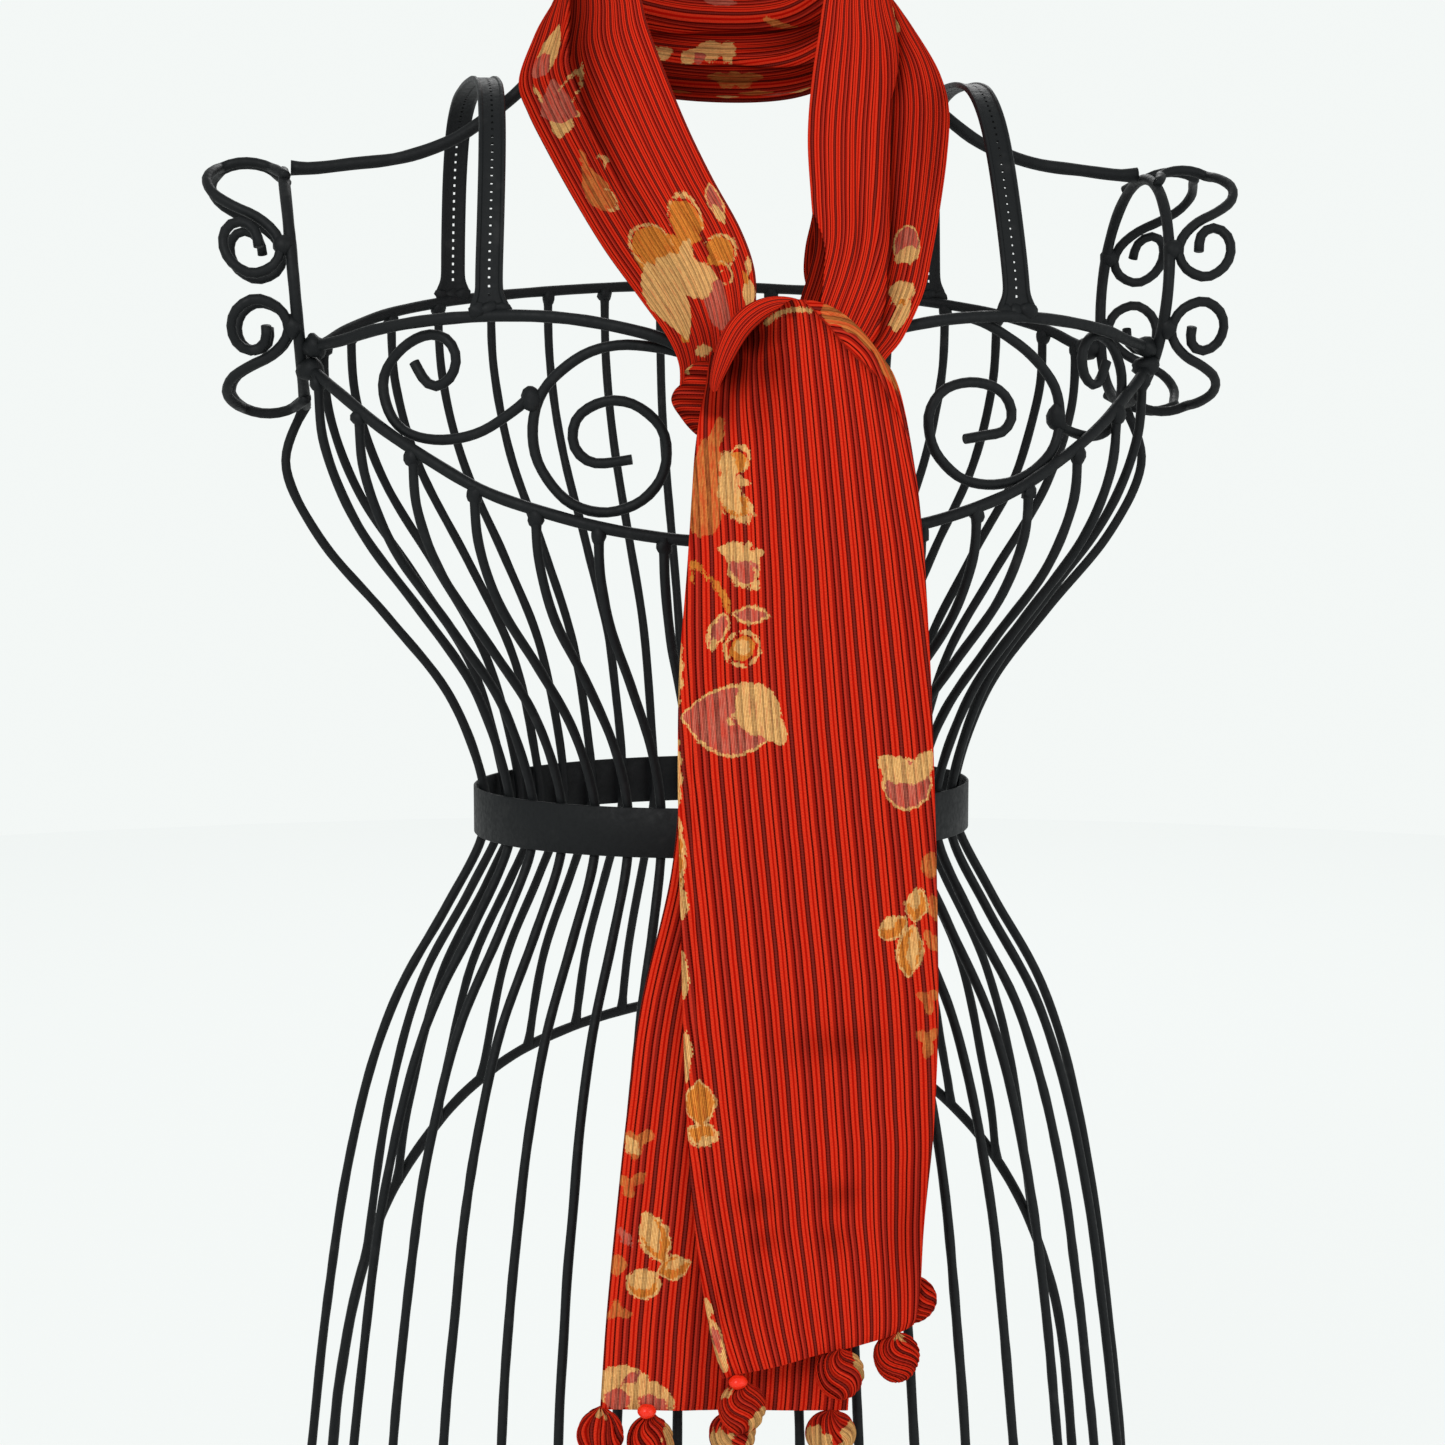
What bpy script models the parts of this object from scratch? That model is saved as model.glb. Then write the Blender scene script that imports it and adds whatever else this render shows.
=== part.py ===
"""Silk tube scarf tied ascot fashion on the neck of a wire dress form.

Metres, +Z up. The form faces -Y and stands on its hem ring at Z = 0, with its upright axis at X = Y = 0.
"""
import bpy
import bmesh
import math
from mathutils import Vector

MM = 0.001

# Wires and steel strips
UPRIGHT_RADIUS = 2.25 * MM
RAIL_RADIUS = 2.65 * MM
SCROLL_RADIUS = 2.35 * MM
SHOULDER_RADIUS = 3.0 * MM
BAND_HEIGHT = 23.0 * MM
BAND_THICK = 1.4 * MM
STRAP_WIDTH = 12.0 * MM
STRAP_THICK = 2.0 * MM
HEM_HEIGHT = 10.0 * MM
HEM_THICK = 6.0 * MM

# Gaps between neighbours: the weld gap, and what each kind of end adds to it
TOUCH = 0.3 * MM
BUTT_SLACK = 0.25 * MM
BAND_SLACK = 0.4 * MM
HEM_SLACK = 0.1 * MM

# Body of the form: half width along X and half depth along Y
BUST_HALF = (209 * MM, 130 * MM)
WAIST_HALF = (116 * MM, 85 * MM)
WAIST_Z = 545 * MM
HEM_HALF = (225 * MM, 186 * MM)

# How far a wire has swung out from waist to bust: share of the height, share of the swing
BODICE = (
    # height, swing
    (0.00, 0.00),
    (0.11, 0.00),
    (0.19, 0.07),
    (0.26, 0.13),
    (0.38, 0.30),
    (0.53, 0.56),
    (0.68, 0.82),
    (0.80, 0.95),
    (0.90, 1.00),
    (1.00, 1.00),
)

# Skirt of the form below the waist, in millimetres
SKIRT = (
    # height, half width, half depth
    (545, 116.0, 85.0),
    (532, 116.4, 85.4),
    (505, 129.0, 96.0),
    (480, 146.0, 111.0),
    (455, 159.0, 122.0),
    (423, 170.0, 132.0),
    (379, 182.0, 140.0),
    (327, 191.0, 146.0),
    (283, 197.0, 149.5),
    (238, 203.0, 154.0),
    (120, 214.0, 169.0),
    (0, 225.0, 186.0),
)

# Rails on the bust, one half each, in millimetres: distance from the middle and height
FRONT_RAIL = (
    # aside, height
    (0, 741),
    (14, 749),
    (28, 758),
    (41, 767),
    (62, 773),
    (87, 777),
    (114, 778),
    (142, 776),
    (166, 772),
    (181, 767.5),
    (192.5, 765),
)
UNDER_BUST_RAIL = (
    # aside, height
    (0, 680),
    (32, 681),
    (62, 685),
    (88, 691),
    (118, 701),
    (143, 715),
    (163, 728.5),
    (179, 742),
    (188, 749.5),
    (194.5, 755),
)
BACK_RAIL = (
    # aside, height
    (0, 796),
    (25, 796),
    (67, 794),
    (109, 790),
    (150, 783),
    (175, 774),
    (186, 767.5),
    (192.5, 764),
)
SKIRT_ARCH = (
    # degrees round from the back, height
    (0, 418),
    (9, 416),
    (24, 405),
    (37, 388),
    (49, 362),
    (59, 330),
    (66, 290),
    (69, 240),
    (70, 120),
    (70, 6),
)

# Angles of the uprights from the front, in degrees, on each side
FRONT_UPRIGHTS = (4, 12, 20, 28, 36.5, 46, 56, 66)
SIDE_UPRIGHTS = (90,)
BACK_UPRIGHTS = (4, 12, 20.5, 29.5, 38.5, 47.5, 56.5, 64)

# Heights at which an upright bends: shares of the bodice from the top, one just above the band, and
# those of the skirt in millimetres, each at least the foot's clearance above its lower end
BODICE_STEPS = (1.0, 0.85, 0.67, 0.48, 0.29)
ABOVE_BAND_Z = WAIST_Z + BAND_HEIGHT / 2 + 2 * MM
SKIRT_STEPS = (532, 497, 450, 385, 295, 165)
FOOT_CLEARANCE = 12 * MM

# Steps to each side of a joint over which a rail's slope is taken
RAIL_STEP = 2.0
ARCH_STEP = 1.0
ARMHOLE_STEP = 0.05

# Armhole ring and its scrolls
ARMHOLE_HALF_DEPTH = 58 * MM
ARMHOLE_HALF_HEIGHT = 53.5 * MM
ARMHOLE_Z = 791.5 * MM
ARMHOLE_ASIDE = 201 * MM
ARMHOLE_LEAN = 4 * MM
SLEEVE_SCROLL = (
    # outward from the ring, above the ring's middle, both in millimetres
    (-1.0, 50.0),
    (8.0, 56.0),
    (19.0, 57.5),
    (29.0, 54.5),
    (34.5, 48.5),
    (32.0, 41.5),
    (24.0, 36.0),
    (14.0, 31.0),
    (6.5, 24.0),
    (4.4, 16.5),
    (8.5, 9.0),
    (18.0, 5.6),
    (26.5, 10.5),
    (29.5, 18.5),
    (27.0, 26.0),
    (20.5, 28.5),
    (15.0, 24.5),
    (14.0, 17.5),
)

# A sleeve scroll hugs the ring: its depth in millimetres at the height of its end, and how much more
# at the ring's middle
SLEEVE_SCROLL_RISE = 54.5
SLEEVE_SCROLL_DEPTH = (9, 49)

# Scrolls of the bust, in millimetres: distance from the middle of the front and height
BIG_SPIRAL = (
    # aside, height
    (58, 716),
    (75, 714.5),
    (83.5, 722),
    (82, 734),
    (70.5, 741),
    (57.5, 740),
    (46, 731),
    (42.5, 719.5),
    (45.5, 707),
    (55.5, 697),
    (71, 693),
    (86.5, 698),
    (98, 712),
    (101.5, 726),
    (99.5, 740),
    (92.5, 751),
    (78.5, 761.5),
    (63.5, 765.5),
    (47.5, 764.5),
    (36, 762),
)
SMALL_SCROLL = (
    # aside, height
    (153, 758),
    (148, 749.5),
    (142.5, 747.5),
    (136.5, 752),
    (134.5, 760.5),
    (138.5, 768),
    (147, 770),
    (157, 765),
    (165, 755),
    (166.5, 745),
    (162.5, 733),
    (154, 726),
    (140, 724),
    (124.5, 727.5),
    (109.5, 737),
    (101.5, 744),
)

# The right breast's big spiral is wider and runs up behind the front rail
RIGHT_BIG_SPIRAL = (
    # aside, height
    (65.5, 724),
    (77, 725.5),
    (86.5, 727),
    (91.5, 733.5),
    (88.5, 742),
    (79.5, 747.5),
    (66.5, 749),
    (54, 745.5),
    (47, 736.5),
    (47, 726),
    (51.5, 716.5),
    (63, 707),
    (77, 703.5),
    (92, 704.5),
    (106, 710),
    (116.5, 719),
    (120.5, 731),
    (118.5, 744),
    (111.5, 753.5),
    (100.5, 762.5),
    (88, 769.5),
    (76, 775),
    (66, 778),
)
RIGHT_SMALL_SCROLL = (*SMALL_SCROLL[:-2], (120, 731))

# The right scrolls sit this many degrees further round than the left ones
RIGHT_SCROLL_TURN = 9.0

# Shoulder rail and neck ring
SHOULDER_RAIL = (
    # aside, height, in millimetres
    (201.8, 847),
    (192, 847),
    (175, 849),
    (151, 852),
    (128, 860),
    (112, 870),
    (94, 885),
    (81, 904),
    (71, 925),
    (60, 946),
    (50, 966),
    (46, 984),
)
NECK_RING_RADIUS = 46 * MM
NECK_RING_Z = 986 * MM

# Strap over the shoulder: depth, height and distance aside, in millimetres
STRAP = (
    # depth, height, aside
    (-107.4, 781.1, 117.0),
    (-105, 795, 117.0),
    (-97, 822, 115.5),
    (-86, 848, 114.0),
    (-72, 867, 113.0),
    (-52, 880, 112.5),
    (-25, 886, 113.0),
    (8, 888, 114.0),
    (45, 888, 115.5),
    (75, 884, 117.5),
    (94, 872, 119.5),
    (103, 850, 121.0),
    (106, 820, 122.0),
    (106.0, 791.6, 122.5),
)

# Scarf
CLOTH_THICK = 2.4 * MM
BALL_RADIUS = 10.5 * MM

# Strands from the side of the neck to the knot. Outer and inner edge of each section, how far its
# middle crowns along FORWARD, and its valley fold: place across from the outer edge and depth
FORWARD = Vector((0, -0.93, 0.37))
VALLEY_WIDTH = 0.22
LEFT_STRAND = (
    # outer x, y, z, inner x, y, z, crown, fold place, fold depth
    (-75.6, -0.6, 926, -56, -0.6, 966, 2.0, 0.30, 0.0),
    (-79, -6, 920, -53.5, -12, 955, 4.0, 0.28, 0.5),
    (-88, -12, 904, -43, -26, 930, 6.0, 0.28, 3.0),
    (-95, -15, 885, -39.5, -39, 910, 7.0, 0.33, 5.0),
    (-92, -27, 870, -33.5, -54, 888, 7.5, 0.34, 5.5),
    (-86, -50, 852, -26, -72, 863, 8.0, 0.32, 5.0),
    (-77, -79, 829, -17.5, -93, 838, 8.0, 0.30, 3.5),
    (-66, -104, 806, -8, -110, 815, 8.0, 0.28, 2.0),
    (-53, -124, 785, -4, -123, 797, 7.0, 0.30, 1.0),
    (-43, -137, 769, -5, -134, 781, 4.5, 0.40, 0.5),
    (-38.4, -141, 757, -6, -140.5, 765, 1.5, 0.50, 0.5),
    (-38.6, -142.6, 746, -7, -142.6, 748, 0.3, 0.50, 0.0),
)
RIGHT_STRAND = (
    # outer x, y, z, inner x, y, z, crown, fold place, fold depth
    (75.6, -0.6, 926, 56, -0.6, 966, 2.0, 0.30, 0.0),
    (83, -7, 921, 54, -12, 955, 4.0, 0.25, 1.5),
    (93, -11, 907, 45, -27, 928, 6.0, 0.27, 4.0),
    (102, -13, 891, 39, -42, 906, 7.0, 0.35, 6.0),
    (104, -23, 874, 33.5, -56, 882, 8.0, 0.40, 6.5),
    (98, -47, 851, 29, -74, 856, 8.5, 0.42, 6.5),
    (88, -77, 823, 28, -90, 829, 8.5, 0.40, 6.0),
    (79, -104, 804, 26.5, -107, 809, 8.0, 0.36, 5.5),
    (71, -124, 787, 21, -122, 794, 7.0, 0.32, 4.5),
    (60, -134, 768, 14, -134, 779, 4.5, 0.30, 2.5),
    (50, -141.4, 757, 9, -140.5, 764, 1.5, 0.30, 1.0),
    (50.9, -142.6, 746, 10, -142.6, 748, 0.3, 0.40, 0.0),
)

# Back of the neck, from its left seam round behind to its right one: lower and upper edge, their
# reach from the form's axis, and how strongly the folded layers stand out
NECK_BACK = (
    # degrees round, lower z, upper z, lower reach, upper reach, relief
    (0, 926, 966, 75.6, 56, 0.0),
    (18, 914, 962, 81, 66, 0.5),
    (38, 902, 958, 85, 73, 1.0),
    (60, 893, 950, 85, 76, 1.0),
    (90, 888, 945, 84, 77, 1.0),
    (120, 889, 946, 85, 76, 1.0),
    (142, 899, 956, 85, 73, 1.0),
    (162, 912, 962, 81, 66, 0.5),
    (180, 926, 966, 75.6, 56, 0.0),
)
NECK_DEPTH_SHARE = 0.97
NECK_SEAM = 0.5
NECK_LAYERS = (0.0, 5.0, -1.5, -4.0, 3.5, 4.0, -3.5, -1.0, 3.0, 0.0)

# Wrap round the knot
WRAP_MIDDLE = (6 * MM, -143.2 * MM)
WRAP_HALF = (46.5 * MM, 8.6 * MM)
WRAP_ROWS = (
    # height, swell
    (728.5, 0.0),
    (733, 1.2),
    (740, 1.8),
    (747, 1.4),
    (753, 0.4),
)
WRAP_SWELL_SHARE = (0.6, 0.25)
WRAP_SQUARENESS = 3.0

# Tail that folds over the knot and hangs in front, from its start inside the knot to its hem
FRONT_TAIL = (
    # left x, right x, end z, arch, depth y, crown, right edge curl, tilt
    (-10, 24, 744, 0.5, -148.5, 0.0, 0, 0.0),
    (-14, 28, 752, 4.0, -148.7, 0.0, 0, 0.0),
    (-25, 40, 760, 16.0, -151.5, 0.0, 0, 0.0),
    (-28, 48, 755, 28.0, -157.0, 0.0, 0, 0.0),
    (-30, 52, 746, 35.0, -162.5, 0.5, 0, 0.0),
    (-33, 55, 734, 38.0, -166.0, 2.0, 1, 0.0),
    (-35.5, 58, 718, 33.0, -168.0, 3.5, 2, 0.0),
    (-37, 61, 699, 20.0, -169.0, 4.0, 3, 0.0),
    (-39, 64, 670, 8.0, -169.5, 4.0, 3, 0.0),
    (-42.5, 67, 625, 2.0, -170.0, 3.5, 3, 0.0),
    (-43, 69, 574, 0.0, -170.0, 3.0, 3, 0.0),
    (-42, 70.5, 520, 0.0, -170.0, 3.0, 3, 0.0),
    (-41, 71, 470, 0.0, -170.5, 4.5, 4, 0.0),
    (-39, 69.5, 425, 0.0, -170.5, 2.0, 5, 3.0),
    (-36, 66, 382, 0.0, -173.0, 4.0, 7, 8.0),
    (-31, 64, 345, 0.0, -175.5, 3.0, 8, 13.0),
    (-25, 61, 320, 0.0, -177.0, 1.5, 8, 18.0),
)

# Form of a section of that tail: squareness of its arch, fullness of its crown, and the place across
# from which its right edge curls back
ARCH_SQUARENESS = 2.2
CROWN_FULLNESS = 0.8
CURL_FROM = 0.8

# Tail that hangs behind the other, from the knot to its hem
BACK_TAIL = (
    # left x, right x, z, depth y, crown, right drop
    (-20, 30, 745, -138.0, 0.0, 0.0),
    (-20, 32, 731, -138.3, 0.0, 0.0),
    (-26, 42, 715, -147.0, 1.0, 0.0),
    (-31, 50, 690, -153.5, 2.0, 0.0),
    (-36, 56, 640, -157.5, 2.5, 0.0),
    (-40, 60, 590, -160.0, 2.5, 0.0),
    (-45, 61, 540, -161.0, 2.5, 0.0),
    (-58, 51, 484, -161.5, 2.0, 0.0),
    (-64, 45, 440, -161.8, 2.0, 0.0),
    (-69, 41, 395, -162.2, 2.0, 0.0),
    (-74, 36, 345, -163.0, 1.5, -2.0),
    (-77, 33, 304, -164.0, 0.5, -6.0),
)

# Balls hung from the hems: place across the hem from its left corner, stem length in millimetres
FRONT_BALLS = (
    # share across, stem
    (0.10, 4.5),
    (0.60, 0.0),
    (0.90, 0.0),
)
CORNER_BALL = (63.5, -156.7, 345.0)
BACK_BALLS = (
    # share across, stem
    (0.0, 0.0),
    (0.20, 3.5),
    (0.53, 0.5),
    (0.93, 0.0),
)

# Fineness: segments along each wire or strip, and across and along each stretch of cloth
BAND_SEGMENTS = 48
RAIL_SEGMENTS = 28
ARCH_SEGMENTS = 36
ARMHOLE_SEGMENTS = 24
SLEEVE_SCROLL_SEGMENTS = 20
BIG_SPIRAL_SEGMENTS = 32
SMALL_SCROLL_SEGMENTS = 22
NECK_RING_SEGMENTS = 18
SHOULDER_SEGMENTS = 15
STRAP_SEGMENTS = 16
STRAND_GRID = (9, 17)
NECK_ALONG = 16
WRAP_SEGMENTS = 24
FRONT_TAIL_GRID = (9, 24)
BACK_TAIL_GRID = (7, 16)
BALL_SEGMENTS = (10, 8)
SHARP_DEGREES = 70
SAME_POINT = 0.01 * MM

# Finishes: base colour, roughness and metallic share
IRON_FINISH = ((0.012, 0.013, 0.015), 0.45, 0.3)
SILK_FINISH = ((0.55, 0.035, 0.012), 0.42, 0.0)


def clear_scene():
    for old in list(bpy.data.objects):
        bpy.data.objects.remove(old, do_unlink=True)


def new_material(name, colour, roughness, metallic):
    material = bpy.data.materials.new(name)
    material.use_nodes = True
    shader = material.node_tree.nodes["Principled BSDF"]
    shader.inputs["Base Color"].default_value = (*colour, 1.0)
    shader.inputs["Roughness"].default_value = roughness
    shader.inputs["Metallic"].default_value = metallic
    return material


def interpolate(table, at):
    """Straight-line lookup in a table whose first column rises or falls."""
    rows = table if table[0][0] <= table[-1][0] else table[::-1]
    if at <= rows[0][0]:
        return rows[0][1:]
    for low, high in zip(rows, rows[1:]):
        if at <= high[0]:
            share = (at - low[0]) / (high[0] - low[0])
            return tuple(a + (b - a) * share for a, b in zip(low[1:], high[1:]))
    return rows[-1][1:]


def smooth_rows(rows, count, closed=False):
    """Rows read at even steps from the smooth curve through the given rows."""
    total = len(rows)
    spans = total if closed else total - 1
    result = []
    for step in range(count if closed else count + 1):
        place = step * spans / count
        index = min(int(place), spans - 1)
        t = place - index
        picks = []
        for shift in (-1, 0, 1, 2):
            wanted = index + shift
            picks.append(rows[wanted % total] if closed else rows[max(0, min(total - 1, wanted))])
        weights = (
            0.5 * (-t ** 3 + 2 * t ** 2 - t),
            0.5 * (3 * t ** 3 - 5 * t ** 2 + 2),
            0.5 * (-3 * t ** 3 + 4 * t ** 2 + t),
            0.5 * (t ** 3 - t ** 2),
        )
        result.append(tuple(sum(w * row[i] for w, row in zip(weights, picks)) for i in range(len(rows[0]))))
    return result


def link(obj, collection):
    for old in list(obj.users_collection):
        old.objects.unlink(obj)
    collection.objects.link(obj)


def finish(obj, material, collection):
    link(obj, collection)
    obj.data.materials.clear()
    obj.data.materials.append(material)
    return obj


def tube_mesh(name, points, radius, closed=False):
    """A round wire as a mesh object, its end caps welded on."""
    curve = bpy.data.curves.new(name + "_curve", "CURVE")
    curve.dimensions = "3D"
    curve.bevel_depth = radius
    curve.bevel_resolution = 1
    curve.use_fill_caps = True
    spline = curve.splines.new("POLY")
    spline.points.add(len(points) - 1)
    for point, target in zip(spline.points, points):
        point.co = (*target, 1.0)
    spline.use_cyclic_u = closed
    holder = bpy.data.objects.new(name + "_curve", curve)
    bpy.context.scene.collection.objects.link(holder)
    depsgraph = bpy.context.evaluated_depsgraph_get()
    mesh = bpy.data.meshes.new_from_object(holder.evaluated_get(depsgraph))
    bpy.data.objects.remove(holder, do_unlink=True)
    welded = bmesh.new()
    welded.from_mesh(mesh)
    bmesh.ops.remove_doubles(welded, verts=welded.verts, dist=SAME_POINT)
    bmesh.ops.recalc_face_normals(welded, faces=welded.faces)
    welded.to_mesh(mesh)
    welded.free()
    mesh.shade_smooth()
    mesh.set_sharp_from_angle(angle=math.radians(SHARP_DEGREES))
    obj = bpy.data.objects.new(name, mesh)
    bpy.context.scene.collection.objects.link(obj)
    return obj


def join_by_union(name, pieces):
    """One closed solid from pieces that run into each other."""
    base = pieces[0]
    for piece in pieces[1:]:
        union = base.modifiers.new("union", "BOOLEAN")
        union.operation = "UNION"
        union.solver = "EXACT"
        union.object = piece
        depsgraph = bpy.context.evaluated_depsgraph_get()
        mesh = bpy.data.meshes.new_from_object(base.evaluated_get(depsgraph))
        base.modifiers.clear()
        base.data = mesh
        bpy.data.objects.remove(piece, do_unlink=True)
    base.name = name
    return base


def strip_ring(name, half, z_low, z_high, thick, segments):
    """A flat strip bent into an ellipse; half is its outer half width and half depth."""
    mesh = bpy.data.meshes.new(name)
    shape = bmesh.new()
    rings = []
    for inset, z in ((0, z_low), (0, z_high), (thick, z_high), (thick, z_low)):
        ring = []
        for step in range(segments):
            turn = 2 * math.pi * step / segments
            point = ((half[0] - inset) * math.cos(turn), (half[1] - inset) * math.sin(turn), z)
            ring.append(shape.verts.new(point))
        rings.append(ring)
    for ring, other in zip(rings, rings[1:] + rings[:1]):
        for step in range(segments):
            after = (step + 1) % segments
            shape.faces.new((ring[step], ring[after], other[after], other[step]))
    bmesh.ops.recalc_face_normals(shape, faces=shape.faces)
    shape.to_mesh(mesh)
    shape.free()
    obj = bpy.data.objects.new(name, mesh)
    bpy.context.scene.collection.objects.link(obj)
    return obj


def sheet(name, sections, thick, closed=False):
    """A cloth wall on a grid of sections; the wall is half its thickness to each side."""
    mesh = bpy.data.meshes.new(name)
    shape = bmesh.new()
    grid = [[shape.verts.new(point) for point in section] for section in sections]
    across = len(grid[0])
    for row, below in zip(grid, grid[1:]):
        for step in range(across if closed else across - 1):
            after = (step + 1) % across
            shape.faces.new((row[step], below[step], below[after], row[after]))
    shape.to_mesh(mesh)
    shape.free()
    mesh.shade_smooth()
    obj = bpy.data.objects.new(name, mesh)
    wall = obj.modifiers.new("wall", "SOLIDIFY")
    wall.thickness = thick
    wall.offset = 0.0
    wall.use_even_offset = True
    bpy.context.scene.collection.objects.link(obj)
    return obj


def on_bust(aside, z, side=1, back=False, inset=0.0, turn=0.0):
    """A point on the bust's ellipse from its distance aside, all in metres."""
    half_width = BUST_HALF[0] - inset
    half_depth = BUST_HALF[1] - inset
    angle = math.asin(max(-1.0, min(1.0, aside / BUST_HALF[0]))) + math.radians(turn)
    depth = half_depth * math.cos(angle)
    return Vector((side * half_width * math.sin(angle), depth if back else -depth, z))


def mirrored(half):
    """A half table with its middle row first, run from the left end over the middle to the right."""
    left = [(-1, *row) for row in half[:0:-1]]
    right = [(1, *row) for row in half]
    return left + right


def rail_rows(table, segments):
    """Rows of a rail or arch from its left end over the middle to its right end."""
    return smooth_rows([(side * aside, height) for side, aside, height in mirrored(table)], segments)


def bust_rail(name, table, back=False):
    points = []
    for aside, height in rail_rows(table, RAIL_SEGMENTS):
        side = 1 if aside >= 0 else -1
        points.append(on_bust(abs(aside) * MM, height * MM, side, back))
    return tube_mesh(name, points, RAIL_RADIUS)


def armhole(side, turn):
    """Point of an armhole ring's wire at an angle from its rear end over the top."""
    rise = math.sin(turn)
    return Vector((
        side * (ARMHOLE_ASIDE + ARMHOLE_LEAN * rise),
        ARMHOLE_HALF_DEPTH * math.cos(turn),
        ARMHOLE_Z + ARMHOLE_HALF_HEIGHT * rise,
    ))


def sleeve(name, side):
    turns = [2 * math.pi * i / ARMHOLE_SEGMENTS for i in range(ARMHOLE_SEGMENTS)]
    pieces = [tube_mesh(name, [armhole(side, turn) for turn in turns], RAIL_RADIUS, closed=True)]
    for facing in (-1, 1):
        for up in (1, -1):
            points = []
            for outward, rise in smooth_rows(SLEEVE_SCROLL, SLEEVE_SCROLL_SEGMENTS):
                level = min(1.0, rise / SLEEVE_SCROLL_RISE)
                depth = SLEEVE_SCROLL_DEPTH[0] + SLEEVE_SCROLL_DEPTH[1] * math.sqrt(1 - level * level)
                lean = ARMHOLE_ASIDE + ARMHOLE_LEAN * up * level
                height = ARMHOLE_Z + up * rise * MM
                points.append(Vector((side * (lean + outward * MM), facing * depth * MM, height)))
            pieces.append(tube_mesh(name + "_scroll", points, SCROLL_RADIUS))
    return join_by_union(name, pieces)


def bust_scroll(name, side, turn, spiral, scroll):
    inset = RAIL_RADIUS + SCROLL_RADIUS + TOUCH
    pieces = []
    for table, segments in ((spiral, BIG_SPIRAL_SEGMENTS), (scroll, SMALL_SCROLL_SEGMENTS)):
        rows = smooth_rows(table, segments)
        points = [on_bust(aside * MM, z * MM, side, False, inset, turn) for aside, z in rows]
        pieces.append(tube_mesh(name, points, SCROLL_RADIUS))
    return join_by_union(name, pieces)


def half_sizes(z, z_top):
    """Half width and half depth of the cage at a height, for an upright that starts at z_top."""
    if z < WAIST_Z:
        return tuple(size * MM for size in interpolate(SKIRT, z / MM))
    swing = interpolate(BODICE, (z - WAIST_Z) / (z_top - WAIST_Z))[0]
    return tuple(waist + (bust - waist) * swing for waist, bust in zip(WAIST_HALF, BUST_HALF))


def upright(name, degrees, z_top, z_bottom, top_aside=None):
    """One wire of the cage; degrees run from the front, positive to +X."""
    turn = math.radians(degrees)
    heights = [WAIST_Z + (z_top - WAIST_Z) * step for step in BODICE_STEPS]
    heights += [ABOVE_BAND_Z]
    heights += [step * MM for step in SKIRT_STEPS if step * MM > z_bottom + FOOT_CLEARANCE]
    heights += [z_bottom]
    points = []
    for z in heights:
        half_width, half_depth = half_sizes(z, z_top)
        points.append(Vector((half_width * math.sin(turn), -half_depth * math.cos(turn), z)))
    if top_aside:
        points[0].x = math.copysign(top_aside, points[0].x)
    return tube_mesh(name, points, UPRIGHT_RADIUS)


def butt_distance(before, after):
    """Height from a sloping rail's middle to the flat end of an upright that is 0.3 mm clear of it."""
    run = (after - before).xy.length
    slope = math.atan2(abs(after.z - before.z), run)
    return RAIL_RADIUS / math.cos(slope) + UPRIGHT_RADIUS * math.tan(slope) + TOUCH + BUTT_SLACK


def skirt_point(degrees_from_back, z):
    half_width, half_depth = half_sizes(z, WAIST_Z)
    turn = math.radians(degrees_from_back)
    return Vector((half_width * math.sin(turn), half_depth * math.cos(turn), z))


def skirt_arch_and_hem(name):
    points = [skirt_point(degrees, z * MM) for degrees, z in rail_rows(SKIRT_ARCH, ARCH_SEGMENTS)]
    arch = tube_mesh(name + "_arch", points, RAIL_RADIUS)
    outer = (HEM_HALF[0] + HEM_THICK / 2, HEM_HALF[1] + HEM_THICK / 2)
    hem = strip_ring(name, outer, 0.0, HEM_HEIGHT, HEM_THICK, BAND_SEGMENTS)
    return join_by_union(name, [hem, arch])


def shoulder_rail(name):
    turns = [2 * math.pi * i / NECK_RING_SEGMENTS for i in range(NECK_RING_SEGMENTS)]
    ring = [Vector((NECK_RING_RADIUS * math.cos(turn), NECK_RING_RADIUS * math.sin(turn), NECK_RING_Z))
            for turn in turns]
    pieces = [tube_mesh(name, ring, SHOULDER_RADIUS, closed=True)]
    for side in (-1, 1):
        rows = smooth_rows(SHOULDER_RAIL, SHOULDER_SEGMENTS)
        path = [Vector((side * aside * MM, 0.0, z * MM)) for aside, z in rows]
        pieces.append(tube_mesh(name + "_side", path, SHOULDER_RADIUS))
    return join_by_union(name, pieces)


def strap(name, side):
    """A flat strap bent over the shoulder, its width along X and its thickness in the bend."""
    sections = []
    for depth, height, aside in smooth_rows(STRAP, STRAP_SEGMENTS):
        middle = Vector((side * aside * MM, depth * MM, height * MM))
        half = Vector((STRAP_WIDTH / 2, 0, 0))
        sections.append((middle - half, middle + half))
    return sheet(name, sections, STRAP_THICK)


def valley(share, place, width):
    """Smooth dip of depth 1 at one place across a section."""
    gap = abs(share - place) / width
    return 0.0 if gap >= 1 else (1 - gap) ** 2 * (1 + 2 * gap)


def strand(name, table):
    across, along = STRAND_GRID
    sections = []
    for row in smooth_rows(table, along):
        outer, inner = Vector(row[0:3]) * MM, Vector(row[3:6]) * MM
        crown, place, depth = row[6:9]
        sections.append([])
        for step in range(across + 1):
            share = step / across
            lift = crown * math.sin(math.pi * share) - depth * valley(share, place, VALLEY_WIDTH)
            sections[-1].append(outer.lerp(inner, share) + FORWARD * lift * MM)
    return sheet(name, sections, CLOTH_THICK)


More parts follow.
